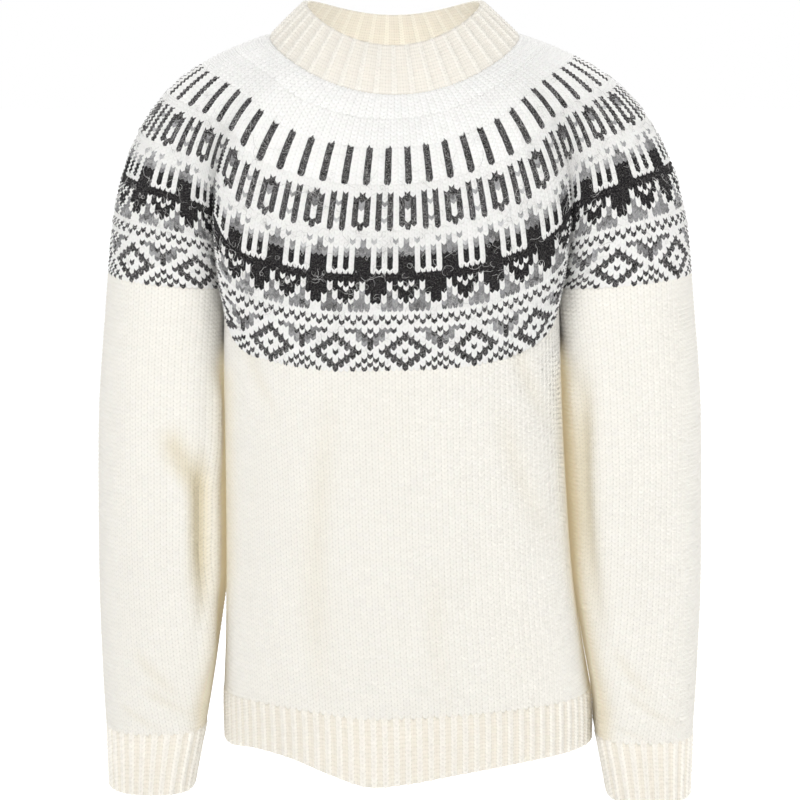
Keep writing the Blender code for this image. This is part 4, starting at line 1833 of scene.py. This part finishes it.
def ply_effect() -> bpy.types.NodeTree:
    """The height of a leg's round, its twisted plies and its fibres.

    Returns:
        The node group, which puts out Height.
    """
    effect = Effect(
        "Ply and fibres",
        {"Place": ("NodeSocketVector", None)},
        {"Height": "NodeSocketFloat"},
    )
    beside, up = along_the_leg(effect)
    u, v, _ = effect.split(effect.source["Place"])
    round_leg = effect.maths("SINE", effect.maths("MULTIPLY", up, math.pi))
    across, along = effect.maths("MULTIPLY", beside, TWIST_OVER), effect.maths("MULTIPLY", up, TWIST_UP)
    twist = effect.maths("ADD", across, along)
    plies = effect.maths("MULTIPLY", effect.maths("SINE", twist), PLY_HEIGHT)
    fibres = effect.noise(effect.stretch(u, v, 7.0, 16.0, 0.0), 1.0, 3.0)
    height = effect.maths("ADD", round_leg, plies)
    height = effect.maths("ADD", height, effect.maths("MULTIPLY", fibres, FIBRE_HEIGHT))
    effect.link(height, effect.result["Height"])
    return effect.tree


@dataclass
class Piece:
    """A finished piece of knitting and what is known of it.

    Attributes:
        name: The piece's name.
        node: The solid that it stands for.
        slot: Its material slot.
        flat: Its flat size in metres.
        area: Its flat area in square metres, where the cut isn't a rectangle.
    """

    name: str
    node: str
    # flat: Its flat size in metres; not used.
    slot: str
    # area: Its flat area in square metres, where the cut isn't a rectangle; not used.
    flat: tuple[float, float]
    area: float | None = None

    def dress(self, walls: Walls, materials: dict[str, bpy.types.Material]) -> bpy.types.Object:
        """Make the piece's mesh, give it its wool, hang it on the root body and hide the solid that it
        stands for.

        Args:
            walls: The walls of the piece.
            materials: The material for each slot.

        Returns:
            The finished object.
        """
        obj = walls.make(self.name)
        obj.data.materials.append(materials[self.slot])
        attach(obj, "root")
        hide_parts(self.node)
        return obj


@dataclass
class Yoke:
    """The round yoke: five patterned bands and the plain rows above them."""

    form: Form
    materials: dict[str, bpy.types.Material]
    lower_bands: tuple[Band, ...] = (LOZENGES, TEETH)
    upper_bands: tuple[Band, ...] = (CROWN, OVALS, BARS)
    plain_bands: tuple[Band, ...] = PLAIN_BANDS

    def band(self, band: Band, seed: int) -> Tube:
        """One band as a tube.

        Args:
            band: The band.
            seed: The start of its random numbers.

        Returns:
            The tube.
        """
        width = len(band.chart[0])
        rows, stitches = len(band.chart), band.repeats * width
        middle = width // 2

        def surface(at: Array, row: Array) -> Array:
            """The yoke's outside in the band's own stitches and rows.

            Args:
                at: The band's stitches.
                row: The band's rows.

            Returns:
                The points.
            """
            turn = at / stitches
            lean = band.crowding * np.sin(4 * math.pi * turn)
            stitch = band.centre + YOKE_STITCHES * turn + lean
            share = band.start + (band.end - band.start) * row / rows
            return self.form.yoke_at(stitch, np.clip(share, 0.0, 1.02))

        chart = np.array([list(line) for line in band.chart])
        outside = paint(np.tile(chart, (1, band.repeats)), seed)
        return Tube(
            surface, 1, -middle, stitches, rows, PLAIN, outside, floats(outside),
            Edge.LAPS, Edge.TUCKED,
        )

    def build(self) -> list[bpy.types.Object]:
        """Make the yoke's three pieces.

        Returns:
            The lower bands, the upper bands and the plain rows.
        """
        made = []
        parts = (
            (Piece("yoke_lower", "yoke", "patterned_wool", (1.565, 0.1), 0.139), self.lower_bands),
            (Piece("yoke_upper", "yoke", "patterned_wool", (1.36, 0.13), 0.142), self.upper_bands),
            (Piece("yoke_plain", "yoke", "cream_wool", (0.92, 0.062), 0.046), self.plain_bands),
        )
        seed = 11
        for piece, bands in parts:
            walls = Walls()
            for band in bands:
                walls.add(self.band(band, seed))
                seed += 1
            made.append(piece.dress(walls, self.materials))
        return made


@dataclass
class Fuzz:
    """The loose, curly hairs that stand off the yoke's yarns and show over the dark rows.

    Attributes:
        form: The sweater's form.
        materials: The material for each slot.
        hairs: How many hairs there are.
        steps: How many points a hair has.
        step: How far apart they are, in mm.
        lengths: The least and the most of that, as shares.
        curl: How much a hair turns at each step, and how unevenly.
        radius: A hair's radius in mm.
        lift: How far a hair stands off the cloth at its ends and in its middle, in mm.
        lifts: The least and the most of that, as shares.
        shares: The shares of a wale between which hairs start.
        limits: The shares of a wale that no hair goes past.
        stitch_width: How wide a stitch is at the yoke's lower edge, in mm.
        wale_length: How long a wale is, in mm.
        rows: How many rows a wale has, for the cloth's direction.
        light: The lightest hair's colour.
        dark: The darkest hair's colour.
    """

    form: Form
    materials: dict[str, bpy.types.Material]
    hairs: int = 2600
    steps: int = 9
    step: float = 1.5
    lengths: tuple[float, float] = (0.6, 1.3)
    curl: tuple[float, float] = (0.55, 0.35)
    radius: float = 0.13
    lift: tuple[float, float] = (0.9, 1.7)
    lifts: tuple[float, float] = (0.2, 1.2)
    shares: tuple[float, float] = (0.02, 0.8)
    limits: tuple[float, float] = (0.005, 0.97)
    stitch_width: float = 6.2
    wale_length: float = 255.0
    rows: float = 67.0
    light: tuple[float, float, float] = (0.8, 0.79, 0.77)
    dark: tuple[float, float, float] = (0.3, 0.295, 0.29)

    def paths(self) -> tuple[Array, Array]:
        """Lay the hairs on the yoke.

        Returns:
            Each hair's points, and the cloth's outward direction at them.
        """
        random = np.random.default_rng(77)
        count, steps = self.hairs, self.steps
        curl, uneven = self.curl
        bend = random.normal(0, curl, (count, 1)) + random.normal(0, uneven, (count, steps))
        heading = random.uniform(0, 2 * math.pi, (count, 1)) + np.cumsum(bend, 1)
        reach = self.step * random.uniform(*self.lengths, (count, 1))
        over = np.cumsum(np.cos(heading) * reach, 1)
        up = np.cumsum(np.sin(heading) * reach, 1)
        start = random.uniform(-YOKE_STITCHES / 2, YOKE_STITCHES / 2, (count, 1))
        low, high = self.shares
        share = low + (high - low) * random.beta(1.6, 1.9, (count, 1))
        stitch = start + over / (self.stitch_width * (1 - 0.5 * share))
        share = np.clip(share + up / self.wale_length, *self.limits)

        def surface(at: Array, row: Array) -> Array:
            """The yoke's outside at single points."""
            return self.form.yoke_at(at, row[None] / self.rows)[0]

        points, _, _, out = facing(surface, stitch.ravel(), share.ravel() * self.rows, 1)
        rise = (self.lift[1] - self.lift[0]) * np.sin(np.linspace(0, math.pi, steps)[None])
        lift = self.lift[0] + rise * random.uniform(*self.lifts, (count, 1))
        points = points + out * lift.reshape(-1, 1)
        return points.reshape(count, steps, 3), out.reshape(count, steps, 3)

    def corners(self) -> Array:
        """Put three corners round each point of each hair.

        Returns:
            Hairs by steps by three corners, in mm.
        """
        points, out = self.paths()
        along = np.gradient(points, axis=1)
        along /= np.maximum(np.linalg.norm(along, axis=2, keepdims=True), 1e-9)
        beside = np.cross(along, out)
        rings = []
        for k in range(3):
            turn = 2 * math.pi * k / 3
            rings.append(points + self.radius * (beside * math.cos(turn) + out * math.sin(turn)))
        return np.stack(rings, 2)

    def faces(self) -> list[list[int]]:
        """The hairs' faces: all the sides, then all the starts, then all the ends.

        Returns:
            The corner numbers of each face.
        """
        ids = np.arange(self.hairs * self.steps * 3).reshape(self.hairs, self.steps, 3)
        sides = []
        for k in range(3):
            j = (k + 1) % 3
            sides.append(np.stack([ids[:, :-1, k], ids[:, :-1, j], ids[:, 1:, j], ids[:, 1:, k]], -1))
        sides = np.stack(sides, 2).reshape(-1, 4)
        return sides.tolist() + ids[:, 0, ::-1].tolist() + ids[:, -1].tolist()

    def colours(self) -> Array:
        """The hairs' colours, each hair between dark and light.

        Returns:
            The colour at each face's corners, in the faces' order.
        """
        mix = np.random.default_rng(78).beta(2.0, 1.2, (self.hairs, 1))
        colour = np.zeros((self.hairs, 4))
        colour[:, :3] = np.array(self.dark) * (1 - mix) + np.array(self.light) * mix
        counts = ((self.steps - 1) * 3 * 4, 3, 3)
        return np.concatenate([np.repeat(colour, count, 0) for count in counts])

    def build(self) -> list[bpy.types.Object]:
        """Make the hairs as thin three-sided tubes.

        Returns:
            The one piece that holds them all.
        """
        mesh = bpy.data.meshes.new("loose_hairs")
        mesh.from_pydata((self.corners().reshape(-1, 3) * MM).tolist(), [], self.faces())
        colours = self.colours()
        attribute = mesh.color_attributes.new(name="Yarn", type="BYTE_COLOR", domain="CORNER")
        attribute.data.foreach_set("color", colours.astype(np.float32).ravel())
        layer = mesh.uv_layers.new(name="Knit")
        layer.uv.foreach_set("vector", np.full(2 * len(colours), 0.25, np.float32))
        mesh.shade_smooth()
        obj = bpy.data.objects.new("loose_hairs", mesh)
        bpy.context.scene.collection.objects.link(obj)
        obj.data.materials.append(self.materials["patterned_wool"])
        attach(obj, "root")
        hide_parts("yoke")
        return [obj]


@dataclass
class Neckband:
    """The ribbed neckband: one knit stitch and two purl in each rib."""

    form: Form
    materials: dict[str, bpy.types.Material]
    rows: int = 13
    flat: tuple[float, float] = (0.57, 0.05)

    def build(self) -> list[bpy.types.Object]:
        """Make the neckband.

        Returns:
            The one piece.
        """
        stitches = NECK_RIBS * ONE_BY_TWO.stitches

        def surface(at: Array, row: Array) -> Array:
            """The neckband's outside in its own stitches and rows."""
            turn = at / stitches * 2 * math.pi + 0 * row
            return self.form.neck_at(turn, row / self.rows)

        colours = rib_paint(ONE_BY_TWO, self.rows, stitches, 31)
        walls = Walls()
        walls.add(
            Tube(surface, 1, 0, stitches, self.rows, ONE_BY_TWO, colours, colours, Edge.PICKED, Edge.FREE)
        )
        piece = Piece("neckband_knit", "neckband", "cream_rib_wool", self.flat)
        return [piece.dress(walls, self.materials)]


@dataclass
class BodyTube:
    """The plain body and its ribbed hem."""

    form: Form
    materials: dict[str, bpy.types.Material]
    rows: int = 79
    hem_rows: int = 15
    half_flat: tuple[float, float] = (0.47, 0.34)
    hem_flat: tuple[float, float] = (0.95, 0.055)

    def half(self, name: str, first: int, seed: int) -> bpy.types.Object:
        """The front or back half of the body, which meet in a groove under the arms.

        Args:
            name: The piece's name.
            first: The half's first stitch.
            seed: The start of its random numbers.

        Returns:
            The finished piece.
        """
        stitches = BODY_STITCHES // 2

        def surface(at: Array, row: Array) -> Array:
            """The body's outside in stitches and rows."""
            return self.form.body_at(at, row / self.rows)

        colours = plain_paint(Yarn.CREAM, self.rows, stitches, seed)
        walls = Walls()
        walls.add(
            Tube(
                surface, 1, first, stitches, self.rows, PLAIN, colours, colours,
                Edge.LAPS, Edge.TUCKED, Closing.SIDED, folds=body_folds,
            )
        )
        piece = Piece(name, "body", "cream_wool", self.half_flat)
        return piece.dress(walls, self.materials)

    def hem(self) -> bpy.types.Object:
        """The ribbed hem.

        Returns:
            The finished piece.
        """
        stitches = HEM_RIBS * ONE_BY_ONE.stitches

        def surface(at: Array, row: Array) -> Array:
            """The hem's outside in the ribs' stitches and rows."""
            return self.form.hem_at(at * BODY_STITCHES / stitches, row / self.hem_rows)

        colours = rib_paint(ONE_BY_ONE, self.hem_rows, stitches, 43)
        walls = Walls()
        walls.add(
            Tube(
                surface, 1, 0, stitches, self.hem_rows, ONE_BY_ONE, colours, colours,
                Edge.FREE, Edge.TUCKED, folds=body_folds,
            )
        )
        piece = Piece("hem_rib_knit", "hem_rib", "cream_rib_wool", self.hem_flat)
        return piece.dress(walls, self.materials)

    def build(self) -> list[bpy.types.Object]:
        """Make the body's two halves and the hem.

        Returns:
            The three pieces.
        """
        quarter = BODY_STITCHES // 4
        return [
            self.half("body_front", -quarter, 41),
            self.half("body_back", quarter, 42),
            self.hem(),
        ]


@dataclass
class SleeveTube:
    """A plain sleeve, which loses stitches along the underarm, and its ribbed cuff."""

    form: Form
    materials: dict[str, bpy.types.Material]
    side: int
    word: str
    rows: int = 104
    cuff_rows: int = 14
    stitches: int = SLEEVE_STITCHES
    flat: tuple[float, float] = (0.42, 0.44)
    area: float = 0.166
    cuff_flat: tuple[float, float] = (0.26, 0.06)

    def reach(self, row: Array) -> Array:
        """How many stitches there are to each side of the outer line at a row.

        Args:
            row: Rows from the cuff.

        Returns:
            The numbers of stitches.
        """
        arm = self.form.arms[self.side]
        low = CUFF_ENDS[self.side] + CUFF_HEIGHT
        heights = np.linspace(low, UNDERARM_HEIGHT, 24)
        girth = np.array([arm.girth(z) for z in heights])
        half = girth / girth[-1] * self.stitches / 2
        z = low + (UNDERARM_HEIGHT - low) * row / self.rows
        return np.minimum(np.interp(z, heights, half), self.stitches / 2 - 0.5)

    def sleeve(self) -> bpy.types.Object:
        """The plain part, from the cuff to the yoke.

        Returns:
            The finished piece.
        """

        def surface(at: Array, row: Array) -> Array:
            """The sleeve's outside, with its stitches counted from the outer line.

            Args:
                at: Stitches from the outer line.
                row: Rows from the cuff.

            Returns:
                The points.
            """
            spread = self.stitches / 2 / self.reach(row)
            stitch = ARM_STITCHES / 2 + at * spread
            return self.form.sleeve_at(self.side, stitch, row / self.rows)

        colours = plain_paint(Yarn.CREAM, self.rows, self.stitches, 51 + self.side)
        walls = Walls()
        walls.add(
            Tube(
                surface, self.side, -self.stitches // 2, self.stitches, self.rows, PLAIN,
                colours, colours, Edge.LAPS, Edge.TUCKED, Closing.TAPERED, self.reach, sleeve_folds,
            )
        )
        piece = Piece(f"sleeve_{self.word}_knit", f"sleeve_{self.word}", "cream_wool", self.flat, self.area)
        return piece.dress(walls, self.materials)

    def cuff(self) -> bpy.types.Object:
        """The ribbed cuff.

        Returns:
            The finished piece.
        """
        stitches = CUFF_RIBS * ONE_BY_ONE.stitches

        def surface(at: Array, row: Array) -> Array:
            """The cuff's outside in the ribs' stitches and rows."""
            stitch = at * SLEEVE_STITCHES / stitches
            return self.form.cuff_at(self.side, stitch, row / self.cuff_rows)

        colours = rib_paint(ONE_BY_ONE, self.cuff_rows, stitches, 61 + self.side)
        walls = Walls()
        walls.add(
            Tube(
                surface, self.side, 0, stitches, self.cuff_rows, ONE_BY_ONE,
                colours, colours, Edge.FREE, Edge.TUCKED,
            )
        )
        piece = Piece(f"cuff_{self.word}_knit", f"cuff_{self.word}", "cream_rib_wool", self.cuff_flat)
        return piece.dress(walls, self.materials)

    def build(self) -> list[bpy.types.Object]:
        """Make the sleeve and its cuff."""
        return [self.sleeve(), self.cuff()]


@dataclass
class Studio:
    """The pale floor, the light and the camera, in metres and watts.

    Attributes:
        floor_height: The floor's height.
        floor_half: Half the floor's side.
        eye: Where the camera stands.
        pitch_down: How far the camera looks down, in degrees.
        lens: The camera's lens, in mm.
        aim_height: The height that the lamps look at.
        sky_seen: The strength of the white all round that the camera sees.
        sky_lit: The strength of it that lights the sweater.
        lamps: The soft lamps' names, places, sides and powers.
        neck_place: Where the small lamp below the neck stands.
        neck_side: That lamp's side.
        neck_power: Its power.
        neck_colour: Its colour.
        neck_turn: How far it is turned up from looking down, in degrees.
    """

    floor_height: float = -0.8
    floor_half: float = 30.0
    eye: tuple[float, float, float] = (0.0, -2.2, 0.0)
    pitch_down: float = 8.48
    lens: float = 105.36
    aim_height: float = -0.35
    sky_seen: float = 1.0
    sky_lit: float = 0.88
    lamps: tuple[tuple[str, tuple[float, float, float], float, float], ...] = (
        ("front_lamp", (-1.0, -2.2, 1.9), 1.4, 31.2),
        ("side_lamp", (2.2, -1.7, 0.5), 1.3, 11.0),
        ("back_lamp", (0.9, 2.3, 1.7), 1.6, 34.0),
    )
    neck_place: tuple[float, float, float] = (-0.006, -0.03, -0.1)
    neck_side: float = 0.09
    neck_power: float = 0.19
    neck_colour: tuple[float, float, float] = (1.0, 0.95, 0.82)
    neck_turn: float = 140.0

    def floor(self) -> None:
        """A plain pale floor, well below the sweater."""
        bpy.ops.object.select_all(action="DESELECT")
        bpy.ops.mesh.primitive_plane_add(size=2 * self.floor_half, location=(0, 0, self.floor_height))
        floor = bpy.context.object
        floor.name = "floor"
        material = bpy.data.materials.new("floor_paper")
        material.use_nodes = True
        shader = material.node_tree.nodes["Principled BSDF"]
        shader.inputs["Base Color"].default_value = (0.9, 0.9, 0.9, 1.0)
        shader.inputs["Roughness"].default_value = 1.0
        shader.inputs["Specular IOR Level"].default_value = 0.0
        shader.inputs["Emission Color"].default_value = (1.0, 1.0, 1.0, 1.0)
        shader.inputs["Emission Strength"].default_value = 0.35
        floor.data.materials.append(material)

    def sky(self) -> None:
        """White all round: one strength for what the camera sees and one for the light it gives."""
        world = bpy.data.worlds.new("white_room")
        bpy.context.scene.world = world
        world.use_nodes = True
        tree = world.node_tree
        back = tree.nodes["Background"]
        back.inputs["Color"].default_value = (1.0, 1.0, 1.0, 1.0)
        path = tree.nodes.new("ShaderNodeLightPath")
        choose = tree.nodes.new("ShaderNodeMix")
        choose.inputs["A"].default_value = self.sky_lit
        choose.inputs["B"].default_value = self.sky_seen
        tree.links.new(path.outputs["Is Camera Ray"], choose.inputs["Factor"])
        tree.links.new(choose.outputs["Result"], back.inputs["Strength"])

    def lamp(self, name: str, place: tuple[float, float, float], size: float, power: float) -> None:
        """A soft square lamp that looks at the sweater's middle.

        Args:
            name: The lamp's name.
            place: Where it stands.
            size: Its side.
            power: Its power in watts.
        """
        data = bpy.data.lights.new(name, "AREA")
        data.size = size
        data.energy = power
        lamp = bpy.data.objects.new(name, data)
        bpy.context.scene.collection.objects.link(lamp)
        dx, dy, dz = -place[0], -place[1], self.aim_height - place[2]
        flat = math.hypot(dx, dy)
        lamp.location = place
        lamp.rotation_euler = (math.pi / 2 + math.atan2(dz, flat), 0, math.atan2(dy, dx) - math.pi / 2)

    def neck_lamp(self) -> None:
        """A small warm lamp below the neck, which lights only the neck's inside."""
        data = bpy.data.lights.new("neck_lamp", "AREA")
        data.size = self.neck_side
        data.energy = self.neck_power
        data.color = self.neck_colour
        lamp = bpy.data.objects.new("neck_lamp", data)
        bpy.context.scene.collection.objects.link(lamp)
        lamp.location = self.neck_place
        lamp.rotation_euler = (math.radians(self.neck_turn), 0, 0)

    def camera(self) -> None:
        """The camera, at the photograph's angle."""
        data = bpy.data.cameras.new("camera")
        data.lens = self.lens
        data.sensor_width = 36.0
        camera = bpy.data.objects.new("camera", data)
        bpy.context.scene.collection.objects.link(camera)
        camera.location = self.eye
        camera.rotation_euler = (math.radians(90 - self.pitch_down), 0, 0)
        bpy.context.scene.camera = camera

    def build(self) -> None:
        """Set the stage."""
        bpy.context.scene.view_settings.view_transform = "Standard"
        self.floor()
        self.sky()
        for name, place, side, power in self.lamps:
            self.lamp(name, place, side, power)
        self.neck_lamp()
        self.camera()


def main() -> None:
    """Build the sweater and its stage."""
    logging.basicConfig(level=logging.INFO)
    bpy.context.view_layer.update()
    Studio().build()
    form = Form()
    yarn, ply = heather_and_hollow_shade_effect(), ply_effect()
    finishes = (
        Finish("cream_wool", 0.2, 0.22),
        Finish("cream_rib_wool", 0.2, 0.2),
        Finish("patterned_wool", 0.05, 0.15),
    )
    materials = {finish.slot: finish.material(yarn, ply) for finish in finishes}
    parts = [
        Neckband(form, materials), Yoke(form, materials), Fuzz(form, materials), BodyTube(form, materials),
        SleeveTube(form, materials, 1, "left"), SleeveTube(form, materials, -1, "right"),
    ]
    for part in parts:
        for piece in part.build():
            log.info("%s: %d faces", piece.name, len(piece.data.polygons))


if __name__ == "__main__":
    main()
